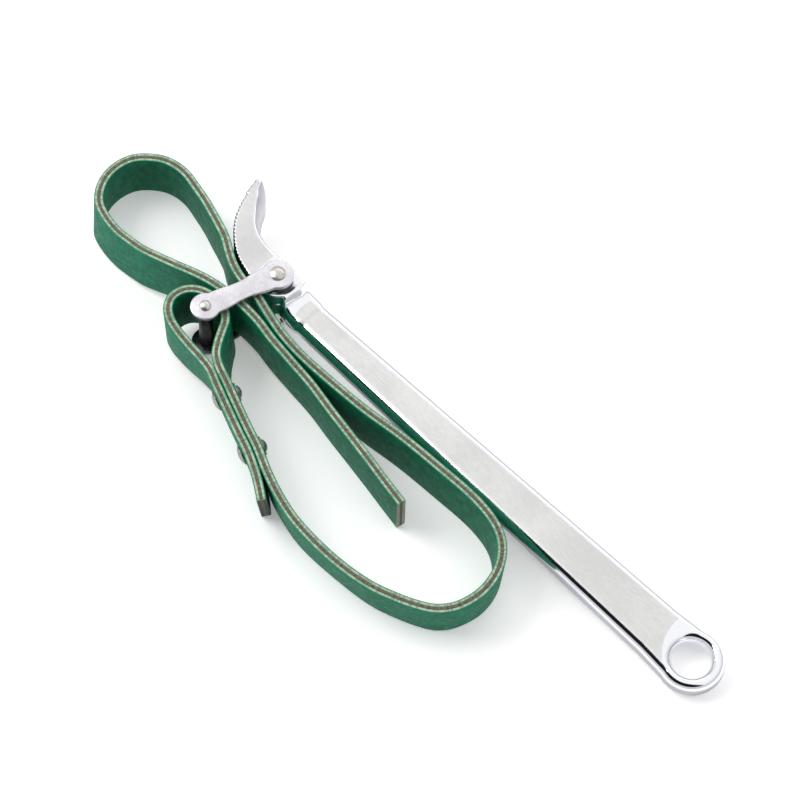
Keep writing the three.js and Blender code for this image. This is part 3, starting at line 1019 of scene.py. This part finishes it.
    def panel_inset(self, at: Points) -> Points:
        """Measures the satin panels, which were ground on the bar's flats and the horn's.

        Args:
            at: The skin's points.

        Returns:
            How far inside the panels' edge each point is, in plan, in millimetres.
        """
        x, y, z = at.T
        near_border, far_border = 2.1, self.bar_edge * 0.96
        flare_border, ridge_border = 4.2, 1.1
        wheel_centre, wheel_r = (252, 8), 23.4
        edge = -self.bar_plan(x, y) - np.where(y < self.shift, near_border, far_border)
        short_of_hole = np.hypot(x - wheel_centre[0], y - wheel_centre[1]) - wheel_r
        past_flare = x - self.bar_start - flare_border - 0.12 * (y - self.shift) ** 2 / 4
        panel = np.minimum(np.minimum(edge, short_of_hole), past_flare)
        on_bar_face = np.abs(z) - self.bar_thick / 2 + 0.35
        horn = np.minimum(-self.down_the_back(x, y) - ridge_border, -9.5 - x)
        return np.maximum(np.minimum(panel, 4 * on_bar_face), horn)

    def dull_and_painted_shade(self, at: Points) -> Points:
        """Measures where the plate is duller than on the bright edges, and where its colour is darkened with
        painted shade.

        Args:
            at: The skin's points.

        Returns:
            1 on the bar's flanks and the horn's sloping back, a little on its flat, and 2 at its teeth.
        """
        x, y, z = at.T
        flat_share = 0.3
        clear_of_hole = smoothstep(self.from_hole(x, y), self.hole_r + 2, self.hole_r + 4)
        bar = smoothstep(x, 16, 30) * smoothstep(3.0 - np.abs(z), 0, 1.6) * clear_of_hole
        on_horn = smoothstep(-x, 9, 14)
        back = smoothstep(self.down_the_back(x, y), -0.1, 0.3)
        toothed = smoothstep(self.head_distance(x, y), -0.5, -0.2) * (1 - back) * smoothstep(-x, 13, 18)
        return np.maximum(bar, on_horn * np.maximum(flat_share, back)) * (1 - toothed) + 2 * toothed

    def build(self) -> None:
        """Builds the forging and dresses it."""
        self.measure()
        points, quads = surface_of(self.solid, self.low, self.high, self.pitch)
        piece = make_object("handle_forging", points, quads, self.tool.matrix())
        smooth(piece.data, 60)
        add_layer(piece, "panel", self.panel_inset(points))
        # The flank layer sets the duller roughness and also places the painted shade tones.
        add_layer(piece, "flank", self.dull_and_painted_shade(points))
        dress(piece, self.finishes.chrome, Slot.CHROME, "handle")
        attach(piece, Body.HANDLE.value)


# ---------------------------------------------------------------- geometry node trees

class GeometryTree:
    """A geometry node tree with named inputs, run on an object and baked to a plain mesh."""

    def __init__(self, name: str, inputs: Sequence[tuple[str, str]]) -> None:
        """Makes the tree with its inputs and output.

        Args:
            name: The tree's name.
            inputs: Pairs of input name and socket type, after the geometry.
        """
        self.tree = bpy.data.node_groups.new(name, "GeometryNodeTree")
        self.tree.interface.new_socket("Geometry", in_out="INPUT", socket_type="NodeSocketGeometry")
        for label, kind in inputs:
            self.tree.interface.new_socket(label, in_out="INPUT", socket_type=kind)
        self.tree.interface.new_socket("Geometry", in_out="OUTPUT", socket_type="NodeSocketGeometry")
        self.n = Nodes(self.tree)
        self.given = self.n.add("NodeGroupInput")

    def finish(self, geometry: bpy.types.NodeSocket) -> None:
        """Ends the tree with real geometry and its material.

        Args:
            geometry: What the tree has made.
        """
        real = self.n.add("GeometryNodeRealizeInstances", Geometry=geometry)
        dressed = self.n.add("GeometryNodeSetMaterial", Geometry=real.outputs[0],
                             Material=self.given.outputs["Material"])
        self.n.feed(self.n.add("NodeGroupOutput").inputs[0], dressed.outputs[0])

    def named(self, label: str, kind: str = "FLOAT") -> bpy.types.NodeSocket:
        """Returns a named layer of the geometry."""
        node = self.n.add("GeometryNodeInputNamedAttribute", {"data_type": kind})
        node.inputs["Name"].default_value = label
        return node.outputs["Attribute"]

    def store(self, geometry: bpy.types.NodeSocket, label: str, value: object) -> bpy.types.NodeSocket:
        """Stores a number for each point of some geometry.

        Args:
            geometry: The geometry.
            label: The layer's name.
            value: The number.

        Returns:
            The geometry with the layer.
        """
        node = self.n.add("GeometryNodeStoreNamedAttribute", {"data_type": "FLOAT", "domain": "POINT"},
                          Geometry=geometry, Name=label)
        self.n.feed(next(s for s in node.inputs if s.name == "Value" and s.enabled), value)
        return node.outputs[0]

    def bake(self, carrier: bpy.types.Object, name: str, values: dict[str, object]) -> bpy.types.Object:
        """Runs the tree on an object and returns the result as a new piece.

        Args:
            carrier: The object that holds the points or the path. It is removed.
            name: The piece's name.
            values: The tree's inputs by name.

        Returns:
            The piece, a plain mesh at the origin.
        """
        modifier = carrier.modifiers.new(name, "NODES")
        modifier.node_group = self.tree
        sockets = {s.name: s.identifier for s in self.tree.interface.items_tree if s.in_out == "INPUT"}
        for label, value in values.items():
            modifier[sockets[label]] = value
        evaluated = carrier.evaluated_get(bpy.context.evaluated_depsgraph_get())
        mesh = bpy.data.meshes.new_from_object(evaluated)
        mesh.name = name
        carrier.modifiers.clear()
        bpy.data.objects.remove(carrier)
        piece = bpy.data.objects.new(name, mesh)
        bpy.context.scene.collection.objects.link(piece)
        return piece


def heads_tree() -> GeometryTree:
    """Builds the tree that sets turned pieces on points, each standing along the point's out direction.

    Returns:
        The tree, with inputs Piece, Size and Material.
    """
    made = GeometryTree("set_on_points", (("Piece", "NodeSocketObject"), ("Size", "NodeSocketFloat"),
                                          ("Material", "NodeSocketMaterial")))
    n = made.n
    piece = n.add("GeometryNodeObjectInfo", Object=made.given.outputs["Piece"])
    turn = n.add("FunctionNodeAlignRotationToVector", {"axis": "Z"}, Vector=made.named("out", "FLOAT_VECTOR"))
    stood = n.add("GeometryNodeInstanceOnPoints", Points=made.given.outputs["Geometry"],
                  Instance=piece.outputs["Geometry"], Rotation=turn.outputs[0],
                  Scale=made.given.outputs["Size"])
    made.finish(stood.outputs[0])
    return made


def ribbon_tree() -> GeometryTree:
    """Builds the tree that draws one ply of the belt along its path.

    Returns:
        The tree, with inputs Middle, Thickness, Height, Rounding and Material. It stores the layers run, in
        metres along the path, across, in metres up from the ply's middle line, and depth, in metres from the
        belt's middle towards its left face.
    """
    made = GeometryTree("belt_ply", (
        ("Middle", "NodeSocketFloat"), ("Thickness", "NodeSocketFloat"), ("Height", "NodeSocketFloat"),
        ("Rounding", "NodeSocketFloat"), ("Material", "NodeSocketMaterial")))
    n, given = made.n, made.given.outputs
    path = n.add("GeometryNodeMeshToCurve", Mesh=given["Geometry"])
    stood = n.add("GeometryNodeSetCurveNormal", {"mode": "FREE"}, Curve=path.outputs[0],
                  Normal=made.named("left", "FLOAT_VECTOR"))
    length = n.add("GeometryNodeSplineParameter").outputs["Length"]
    measured = made.store(stood.outputs[0], "run", length)
    section = n.add("GeometryNodeCurvePrimitiveQuadrilateral", Width=given["Thickness"],
                    Height=given["Height"])
    soft = n.add("GeometryNodeFilletCurve", {"mode": "POLY"}, Curve=section.outputs[0], Count=3,
                 Radius=given["Rounding"], Limit_Radius=True)
    shift = n.add("ShaderNodeCombineXYZ", X=given["Middle"]).outputs[0]
    moved = n.add("GeometryNodeTransform", Geometry=soft.outputs[0], Translation=shift)
    place = n.add("ShaderNodeSeparateXYZ", Vector=n.add("GeometryNodeInputPosition").outputs[0]).outputs
    section_measured = made.store(made.store(moved.outputs[0], "across", place["Y"]), "depth", place["X"])
    swept = n.add("GeometryNodeCurveToMesh", Curve=measured, Profile_Curve=section_measured, Fill_Caps=True)
    made.finish(swept.outputs[0])
    return made


def point_carrier(name: str, points: Points, layers: dict[str, Points],
                  chain: bool = False) -> bpy.types.Object:
    """Makes an object of points for a tree to run on.

    Args:
        name: Its name.
        points: Its points, in metres in the row frame.
        layers: Vectors for each point, by name.
        chain: Whether each point is joined to the next.

    Returns:
        The object.
    """
    mesh = bpy.data.meshes.new(name)
    links = [(i, i + 1) for i in range(len(points) - 1)] if chain else []
    mesh.from_pydata(np.asarray(points).tolist(), links, [])
    for label, vectors in layers.items():
        layer = mesh.attributes.new(label, "FLOAT_VECTOR", "POINT")
        layer.data.foreach_set("vector", np.asarray(vectors, np.float32).ravel())
    made = bpy.data.objects.new(name, mesh)
    bpy.context.scene.collection.objects.link(made)
    return made


def set_turned(heads: GeometryTree, name: str, profile: Points, places: Sequence[Vector],
               out: Sequence[Vector], material: bpy.types.Material) -> bpy.types.Object:
    """Turns a profile and sets it at each place, as one piece.

    Args:
        heads: The tree that sets pieces on points.
        name: The piece's name.
        profile: The profile, in millimetres.
        places: Where it stands, in metres in the row frame.
        out: The direction of its axis at each place.
        material: Its material.

    Returns:
        The piece.
    """
    source = make_object(name + "_source", *turned(profile), Matrix.Scale(MM, 4))
    carrier = point_carrier(name + "_points", places, {"out": out})
    piece = heads.bake(carrier, name, {"Piece": source, "Size": 1.0, "Material": material})
    bpy.data.objects.remove(source)
    smooth(piece.data)
    return piece


def domed_head(radius: float, height: float, rim: float, shank: float, depth: float) -> Points:
    """Draws the profile of a rivet's domed head on a stub of its shank.

    Args:
        radius: The head's radius.
        height: Its height.
        rim: The height of its upright rim.
        shank: The shank's radius.
        depth: The length of the stub.

    Returns:
        The profile, for turned, with the head's underside at 0.
    """
    broken_edge = 0.15
    dome_share = 0.97
    dome_radius = (radius ** 2 + (height - rim) ** 2) / (2 * (height - rim))
    sweep = math.asin(min(radius * dome_share / dome_radius, 1))
    dome = arc((0, height - dome_radius), dome_radius, math.pi / 2 - sweep, math.pi / 2, 14)
    dome[-1, 0] = 0
    return np.vstack([[(0, -depth), (shank, -depth), (shank, 0), (radius - broken_edge, 0),
                       (radius, broken_edge), (radius, rim)], dome])


# ---------------------------------------------------------------- yoke

@dataclass
class LinkYoke:
    """The two link plates, their rivets and washers, and the anchor sleeve."""

    tool: ToolFrame
    finishes: Finishes
    heads: GeometryTree
    plate_in: float = 14.0
    plate_thick: float = 2.1
    plate_edge: float = 0.75
    pivot_r: float = 7.2
    anchor_r: float = 6.6
    waist: tuple = ((0.3, 5.2), (0.42, 4.5), (0.58, 4.5), (0.72, 5.1))
    head_height: float = 1.5
    head_rim: float = 0.45
    washer_low: float = 11.65
    washer_r: float = 6.7
    washer_bore: float = 2.85
    sleeve_r: float = 3.1
    sleeve_bore: float = 1.95

    def plate_outline(self) -> Points:
        """Draws the dog-bone plan of a plate.

        Returns:
            Its corners, anticlockwise.
        """
        centre = np.array(ANCHOR)
        reach = np.linalg.norm(centre)
        along = centre / reach
        side = np.array([-along[1], along[0]])
        heading = math.atan2(along[1], along[0])
        near = arc((0, 0), self.pivot_r, heading + 0.95, heading - 0.95 + 2 * math.pi, 48)
        far = arc(centre, self.anchor_r, heading - 2.2, heading + 2.2, 44)
        lower = [along * s * reach - side * w for s, w in self.waist]
        upper = [along * s * reach + side * w for s, w in reversed(self.waist)]
        first = smooth_run([near[-1], *lower, far[0]], 6)[1:-1]
        second = smooth_run([far[-1], *upper, near[0]], 6)[1:-1]
        return np.vstack([near, first, far, second])

    def plate(self, name: str, side: int, material: bpy.types.Material, node: str) -> None:
        """Builds one plate with rolled edges.

        Args:
            name: The piece's name.
            side: 1 for the upper plate and -1 for the lower.
            material: Its material.
            node: The CAD node that it stands for.
        """
        outline = self.plate_outline()
        count = len(outline)
        normal = np.roll(outline, 1, axis=0) - np.roll(outline, -1, axis=0)
        normal = np.column_stack([-normal[:, 1], normal[:, 0]])
        normal /= np.linalg.norm(normal, axis=1)[:, None]
        half, edge = self.plate_thick / 2, self.plate_edge
        angles = np.linspace(0, math.pi / 2, 6)
        rolled = [(edge * (1 - math.cos(a)), half - edge + edge * math.sin(a)) for a in angles]
        section = [(inset, -z) for inset, z in reversed(rolled)] + rolled
        rings = [np.column_stack([outline - normal * inset, np.full(count, z)]) for inset, z in section]
        points = np.vstack(rings)
        points[:, 2] += side * (self.plate_in + half)
        number = np.arange(len(points)).reshape(len(rings), count)
        ahead = np.roll(number, -1, axis=1)
        walls = np.stack([number[:-1], ahead[:-1], ahead[1:], number[1:]], -1).reshape(-1, 4)
        faces = [*walls, number[0][::-1], number[-1]]
        piece = make_object(name, points, faces, self.tool.matrix())
        dress(piece, material, Slot.NICKEL, node)
        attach(piece, Body.YOKE.value)

    def rivet(self, name: str, centre: Sequence[float], shank: float, head: float, node: str) -> None:
        """Builds a through rivet from two domed heads on its shank.

        Args:
            name: The piece's name.
            centre: Its place in plan.
            shank: The shank's radius.
            head: The heads' radius.
            node: The CAD node that it stands for.
        """
        under = self.plate_in + self.plate_thick + GAP
        profile = domed_head(head, self.head_height, self.head_rim, shank, under)
        sides = (1, -1)
        points = [self.tool.matrix() @ Vector((*centre, side * under)) for side in sides]
        out = [self.tool.axis * side for side in sides]
        piece = set_turned(self.heads, name, profile, points, out, self.finishes.rivet)
        dress(piece, None, Slot.RIVET, node)
        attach(piece, Body.YOKE.value)

    def ring(self, name: str, centre: Sequence[float], profile: Points, body: Body, node: str) -> None:
        """Builds a turned washer or sleeve in the black finish.

        Args:
            name: The piece's name.
            centre: Its place in plan.
            profile: Its section.
            body: The body that it rides on.
            node: The CAD node that it stands for.
        """
        points, faces = turned(profile, 96)
        points[:, :2] += centre
        piece = make_object(name, points, faces, self.tool.matrix())
        dress(piece, self.finishes.black, Slot.BLACK, node)
        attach(piece, body.value)

    def build(self) -> None:
        """Builds the whole yoke."""
        self.plate("upper_plate", 1, self.finishes.nickel, "upper_link_plate")
        # The lower plate takes the darker nickel copy, whose tone is painted shade.
        self.plate("lower_plate", -1, self.finishes.shade_painted_nickel, "lower_link_plate")
        self.rivet("pivot_rivet_headed", (0, 0), 2.6, 3.4, "pivot_rivet")
        self.rivet("anchor_rivet_headed", ANCHOR, 1.7, 2.5, "anchor_rivet")
        low, high = self.washer_low, self.plate_in - GAP
        for side, bottom, top in (("upper", low, high), ("lower", -high, -low)):
            washer = rounded_ring(self.washer_r, self.washer_bore, bottom, top, 0.3)
            self.ring(f"{side}_thrust_washer", (0, 0), washer, Body.YOKE, f"{side}_pivot_washer")
        sleeve = rounded_ring(self.sleeve_r, self.sleeve_bore, -high, high, 0.25)
        self.ring("anchor_sleeve_turned", ANCHOR, sleeve, Body.SLEEVE, "anchor_sleeve")


# ---------------------------------------------------------------- belt

@dataclass
class Belt:
    """The laminated belt: core, two green faces, and the two rivets through its lap."""

    tool: ToolFrame
    finishes: Finishes
    heads: GeometryTree
    ply: GeometryTree
    width: float = 26.0
    thick: float = 4.2
    core: float = 1.2
    inset: float = 0.3
    lap_from: tuple = (13.5, -47.6)
    lap_heading: tuple = (0.935, -0.355)
    lap_step: float = 4.5
    lap_stations: tuple = (0, 8, 20, 32, 42)
    lap_rivets: tuple = (8.5, 36)
    lap_lean: float = 3.7
    lift_full: float = 16.0
    lift_gone: float = 62.0
    free_end_skew: float = 2.4
    tail_skew: float = 6.0
    cut_reach: float = 16.0
    glue: float = 0.02
    soft_edge: float = 0.3
    head_r: float = 4.3
    steps: int = 7

    def lap_along(self) -> Points:
        """Returns the direction along the lap, from the eye towards the tail."""
        return np.array(self.lap_heading) / np.hypot(*self.lap_heading)

    def on_lap(self, distance: float, out: float) -> Points:
        """Returns a place on the lap, distance along it and out towards the tail's side."""
        along = self.lap_along()
        return np.array(self.lap_from) + along * distance + np.array([along[1], -along[0]]) * out

    def leaning(self, run: Sequence[Sequence[float]], start: float, end: float | None = None) -> list[tuple]:
        """Adds to each point of a run how far the belt's lower edge stands to the left of its upper edge.

        Args:
            run: The points of the upper edge.
            start: The lean at the first point.
            end: The lean at the last point, or None for the same lean all along.

        Returns:
            Each point's x, y and lean.
        """
        leans = np.linspace(start, start if end is None else end, len(run))
        return [(x, y, lean) for (x, y), lean in zip(run, leans)]

    def route(self) -> Points:
        """Draws the belt's upper edge from its free end to its riveted tail.

        Returns:
            Its points, each with the belt's lean as a third column.
        """
        lap = [self.on_lap(s, 0) for s in self.lap_stations]
        tail = [self.on_lap(s, self.lap_step) for s in self.lap_stations]
        lean = self.leaning
        return smooth_run([
            *lean([(114.5, -38.4), (103, -36.2), (92, -33.9), (77, -31), (63, -28.4), (47, -25.2),
                   (33, -23.8), (20, -22.6), (9, -20.8), (-2, -20.3), (-11, -20.9), (-19.5, -22.3),
                   (-27.5, -24.6), (-36, -27.2)], -1.2, 0),
            *lean([(-51, -30.4), (-61, -30.8), (-70, -30.6), (-79, -29), (-86, -26)], 0.8, 2.4),
            *lean([(-91, -20.6), (-94, -13.6), (-94.3, -6), (-92.2, 0.4), (-87.6, 5.6), (-82.4, 9.2),
                   (-76.4, 11), (-70, 11.2), (-63, 9.8), (-54, 7.4), (-44.6, 3.9)], 2, 0),
            *lean([(-37, 0.9), (-30.6, -1.9), (-23.2, -6.3), (-18.2, -8.9), (-11.8, -11), (-5, -12),
                   (1.5, -12.8), (9.5, -15)], 0),
            *lean([(19, -17.3), (28, -18.4), (38, -18.6), (52, -18.2), (72, -17.6), (92, -15.8), (113, -15.2),
                   (134, -15.2)], 0),
            *lean([(146, -17), (153, -19.6), (158.6, -23.6), (163, -29.2), (166, -36.5), (167, -44),
                   (166, -51.4)], -0.4, -4),
            *lean([(163.4, -58), (158.6, -63.6), (152, -67.6), (143, -71.4), (131, -75), (112, -76.9)],
                  -4.3, -4.8),
            *lean([(90, -75.6), (77.2, -72.6), (64.2, -67.8)], -3.6, -2.8),
            *lean(lap[::-1], -self.lap_lean),
            *lean([(9, -44.6), (5.8, -40.4), (3, -35.6), (0.4, -31.2), (-3.4, -28), (-9, -26.6)], -3.4, 0),
            *lean([(-14.5, -27), (-19, -28.8), (-22.4, -32), (-24, -36), (-23.8, -40.4), (-21, -44.6)], 0),
            *lean([(-16.6, -47.4), (-10, -49.2), (-2, -50.3), (5.4, -50.9)], 0.8, 3.4),
            *lean(tail, self.lap_lean),
            *lean([(61, -71.6), (67, -75.2), (72.6, -79)], 3.2, 2.2),
        ], self.steps)

    def lift(self, x: Points, y: Points) -> Points:
        """Measures how far the plates lift the belt off the table.

        Args:
            x: The places' x.
            y: The places' y.

        Returns:
            The lift at each place, which fades out away from the plates.
        """
        reach = np.linalg.norm(ANCHOR)
        along = np.array(ANCHOR) / reach
        s = np.clip(x * along[0] + y * along[1], 0, reach)
        away = np.hypot(x - along[0] * s, y - along[1] * s)
        share = 1 - smoothstep(away, self.lift_full, self.lift_gone)
        slope = self.tool.axis.x / self.tool.axis.z
        return share * (self.tool.pivot.z / MM - self.width / 2 - slope * x)

    def path(self) -> tuple[Points, Points, Points]:
        """Works out the belt's run through the middle of its width.

        Returns:
            Its points, the direction to the left of it square to the leaning faces, and its heading in plan.
        """
        x, y, lean = self.route().T
        heading = np.column_stack([np.gradient(x), np.gradient(y)])
        heading /= np.linalg.norm(heading, axis=1)[:, None]
        left = np.column_stack([-heading[:, 1], heading[:, 0]])
        angle = np.arctan2(lean, self.width)
        half_fall = self.width / 2 * np.cos(angle) + self.thick / 2 * np.abs(np.sin(angle))
        plan = np.column_stack([x, y]) + left * lean[:, None] / 2
        middle = np.column_stack([plan, half_fall + self.lift(x, y)])
        square = np.column_stack([left * np.cos(angle)[:, None], np.sin(angle)])
        return middle, square, heading

    def skew_ends(self, mesh: bpy.types.Mesh, heading: Points, length: float) -> None:
        """Sets back the lower corners of both ends, where the belt was cut askew.

        Args:
            mesh: A ply.
            heading: The belt's heading at each point of its path.
            length: The path's length in metres.
        """
        count = len(mesh.vertices)
        run, across, at = np.zeros(count), np.zeros(count), np.zeros(3 * count)
        mesh.attributes["run"].data.foreach_get("value", run)
        mesh.attributes["across"].data.foreach_get("value", across)
        mesh.vertices.foreach_get("co", at)
        reach = self.cut_reach * MM
        down = 0.5 - across / (self.width * MM)
        start = np.maximum(1 - run / reach, 0) * self.free_end_skew * MM
        end = np.maximum(1 - (length - run) / reach, 0) * self.tail_skew * MM
        at = at.reshape(-1, 3)
        at[:, :2] += (start * down)[:, None] * heading[0] - (end * down)[:, None] * heading[-1]
        mesh.vertices.foreach_set("co", at.ravel())
        mesh.update()

    @staticmethod
    def length_of(points: Points) -> float:
        """Returns the length of a run of points."""
        return float(np.linalg.norm(np.diff(points, axis=0), axis=1).sum())

    def strip(self, name: str, low: float, high: float, inset: float, rounding: float,
              material: bpy.types.Material, slot: Slot, node: str) -> None:
        """Builds one ply.

        Args:
            name: The piece's name.
            low: Its face to the right of the belt's middle.
            high: Its face to the left.
            inset: How far its cut edges stand inside the belt's.
            rounding: The radius of its long edges.
            material: Its material.
            slot: The record's slot.
            node: The CAD node that it stands for.
        """
        middle, square, heading = self.path()
        turn = np.array(self.tool.flat_matrix())
        points = middle @ turn[:3, :3].T + turn[:3, 3]
        carrier = point_carrier(name + "_path", points, {"left": square}, chain=True)
        piece = self.ply.bake(carrier, name, {
            "Middle": (low + high) / 2 * MM, "Thickness": (high - low) * MM,
            "Height": (self.width - 2 * inset) * MM, "Rounding": rounding * MM, "Material": material})
        self.skew_ends(piece.data, heading, self.length_of(points))
        smooth(piece.data)
        dress(piece, None, slot, node)
        self.bend(piece)

    def bend(self, piece: bpy.types.Object) -> None:
        """Bakes the place of a piece of the belt into its mesh.

        Args:
            piece: The piece.
        """
        place = self.tool.flat_matrix()
        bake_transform(piece)

    def set_on_lap(self, name: str, profile: Points, distance: float, out: float, *nodes: str) -> None:
        """Sets a turned piece on one side of the lap, facing away from it.

        Args:
            name: The piece's name.
            profile: Its profile.
            distance: How far along the lap it is.
            out: How far it stands out of the lap's middle, on the tail's side or, below 0, on the other.
            nodes: The CAD node that it stands for, if any.
        """
        along = self.lap_along()
        direction = Vector((along[1] * self.width, -along[0] * self.width, -self.lap_lean)).normalized()
        x, y = self.on_lap(distance, self.lap_step / 2 - self.lap_lean / 2)
        z = self.width / 2 + float(self.lift(np.array([x]), np.array([y]))[0])
        place = self.tool.flat_matrix() @ (Vector((x, y, z)) + direction * out)
        facing = [direction * math.copysign(1, out)]
        # The lap rivet finish's darker green tone is painted shade and a painted reflection of the belt.
        piece = set_turned(self.heads, name, profile, [place], facing, self.finishes.lap_rivet)
        dress(piece, None, Slot.RIVET, *nodes)
        self.bend(piece)

    def lap_rivet(self, number: int, distance: float) -> None:
        """Builds one lap rivet, its washer and its clenched end.

        Args:
            number: The rivet's number, from 1.
            distance: How far along the lap it is.
        """
        face = self.lap_step / 2 + self.thick / 2 + 0.15
        shank = 1.8
        washer = 0.8
        self.set_on_lap(f"lap_rivet_{number}", domed_head(self.head_r, 1.7, 0.5, shank, face), distance, face,
                        f"strap_rivet_{number}")
        self.set_on_lap(f"lap_rivet_{number}_clench", domed_head(2.7, 1.5, 0.5, shank, washer), distance,
                        -face - washer - 0.1)
        self.set_on_lap(f"lap_washer_{number}", rounded_ring(self.head_r, shank + GAP, 0, washer, 0.2),
                        distance, -face, f"strap_washer_{number}")

    def build(self) -> None:
        """Builds the plies and the lap's rivets."""
        length = self.length_of(self.path()[0] * MM)
        rubber = BeltRubber().build((self.width / 2 - self.inset) * MM, length)
        half, core = self.thick / 2, self.core / 2
        self.strip("belt_core_ply", -core, core, 0.2, 0.12, BeltCord().build(), Slot.CORE, "strap_core")
        for side, low, high in (("inner", core + self.glue, half), ("outer", -half, -core - self.glue)):
            self.strip(f"belt_{side}_face", low, high, self.inset, self.soft_edge, rubber, Slot.RUBBER,
                       f"strap_{side}_cover")
        for number, distance in enumerate(self.lap_rivets, 1):
            self.lap_rivet(number, distance)


# ---------------------------------------------------------------- studio

@dataclass
class Studio:
    """A pale floor, soft lights and the camera."""

    tool: ToolFrame
    target: tuple = (68.7, 6.6, 0.0)
    azimuth: float = 44.94
    elevation: float = 60.0
    distance: float = 1.365
    lens: float = 141.6
    floor_half: float = 6.0
    floor_glow: float = 0.26
    floor_tones: tuple = (colour(246, 246, 246), colour(250, 250, 249))
    horizon: tuple = colour(200, 201, 206)
    overhead: tuple = colour(253, 253, 254)
    dark_wall: tuple = colour(18, 18, 22)
    dark_way: tuple = (0.17, -0.985, 0.0)
    room_light: float = 1.1

    def direction(self, azimuth: float, elevation: float) -> Vector:
        """Returns the direction from the object towards a place round it, in degrees."""
        a, e = math.radians(azimuth), math.radians(elevation)
        return Vector((math.cos(e) * math.sin(a), -math.cos(e) * math.cos(a), math.sin(e)))

    def camera(self) -> None:
        """Sets the camera at the product view, long and far."""
        data = bpy.data.cameras.new("product_view")
        data.lens = self.lens
        data.sensor_width = 36
        data.clip_end = 20
        made = bpy.data.objects.new("product_view", data)
        back = self.direction(self.azimuth, self.elevation)
        made.location = self.tool.flat_matrix() @ Vector(self.target) + back * self.distance
        made.rotation_euler = back.to_track_quat("Z", "Y").to_euler()
        bpy.context.scene.collection.objects.link(made)
        bpy.context.scene.camera = made

    def floor(self) -> None:
        """Lays a wide pale floor with a faint mottle."""
        half = self.floor_half
        mesh = bpy.data.meshes.new("floor")
        corners = [(-half, -half, 0), (half, -half, 0), (half, half, 0), (-half, half, 0)]
        mesh.from_pydata(corners, [], [(0, 1, 2, 3)])
        made = bpy.data.objects.new("floor", mesh)
        bpy.context.scene.collection.objects.link(made)
        material, n, shader = new_material("pale_floor")
        at = n.add("ShaderNodeTexCoord").outputs["Object"]
        n.feed(shader.inputs["Base Color"], n.mix(n.noise(at, 3.0), *self.floor_tones))
        shader.inputs["Roughness"].default_value = 0.9
        shader.inputs["Specular IOR Level"].default_value = 0.1
        shader.inputs["Emission Color"].default_value = (1, 1, 1, 1)
        shader.inputs["Emission Strength"].default_value = self.floor_glow
        mesh.materials.append(material)

    def light(self, name: str, azimuth: float, elevation: float, reach: float, size: Sequence[float],
              power: float) -> None:
        """Adds a soft rectangular light that faces the wrench.

        Args:
            name: The light's name.
            azimuth: Where it stands round the wrench, in degrees.
            elevation: How high it stands, in degrees.
            reach: Its distance in metres.
            size: Its width and height in metres.
            power: Its power in watts.
        """
        data = bpy.data.lights.new(name, "AREA")
        data.shape = "RECTANGLE"
        data.size, data.size_y = size
        data.energy = power
        made = bpy.data.objects.new(name, data)
        back = self.direction(azimuth, elevation)
        made.location = back * reach
        made.rotation_euler = back.to_track_quat("Z", "Y").to_euler()
        bpy.context.scene.collection.objects.link(made)

    def surround(self) -> None:
        """Fills the room with soft light that dims towards the horizon, and a dark wall on the near side."""
        world = bpy.data.worlds.new("soft_room")
        bpy.context.scene.world = world
        world.use_nodes = True
        n = Nodes(world.node_tree)
        background = next(x for x in world.node_tree.nodes if x.type == "BACKGROUND")
        at = n.add("ShaderNodeTexCoord").outputs["Generated"]
        up = n.add("ShaderNodeSeparateXYZ", Vector=at).outputs["Z"]
        sky = n.mix(n.ramp(up, 0.0, 0.82), self.horizon, self.overhead)
        facing = n.add("ShaderNodeVectorMath", {"operation": "DOT_PRODUCT"})
        n.feed(facing.inputs[0], at)
        n.feed(facing.inputs[1], self.dark_way)
        wall_height = n.math("MULTIPLY", n.ramp(up, 0.3, 0.46), n.ramp(up, 0.86, 0.94, 1.0, 0.0))
        wall = n.math("MULTIPLY", wall_height, n.ramp(facing.outputs["Value"], 0.24, 0.38))
        n.feed(background.inputs["Color"], n.mix(wall, sky, self.dark_wall))
        background.inputs["Strength"].default_value = self.room_light

    def build(self) -> None:
        """Builds the stage."""
        self.camera()
        self.floor()
        self.surround()
        self.light("left", 300, 48, 1.5, (0.9, 0.9), 12)
        self.light("back_strip", 203, 40, 1.6, (1.6, 0.14), 2.4)
        bpy.context.scene.view_settings.view_transform = "Standard"


def main() -> None:
    """Builds the wrench and its stage."""
    logging.basicConfig(level=logging.INFO, format="%(name)s %(message)s")
    tool = ToolFrame.from_joint("yoke_swing")
    Studio(tool).build()
    finishes = Finishes()
    heads = heads_tree()
    ForgedHandle(tool, finishes).build()
    LinkYoke(tool, finishes, heads).build()
    Belt(tool, finishes, heads, ribbon_tree()).build()


if __name__ == "__main__":
    main()
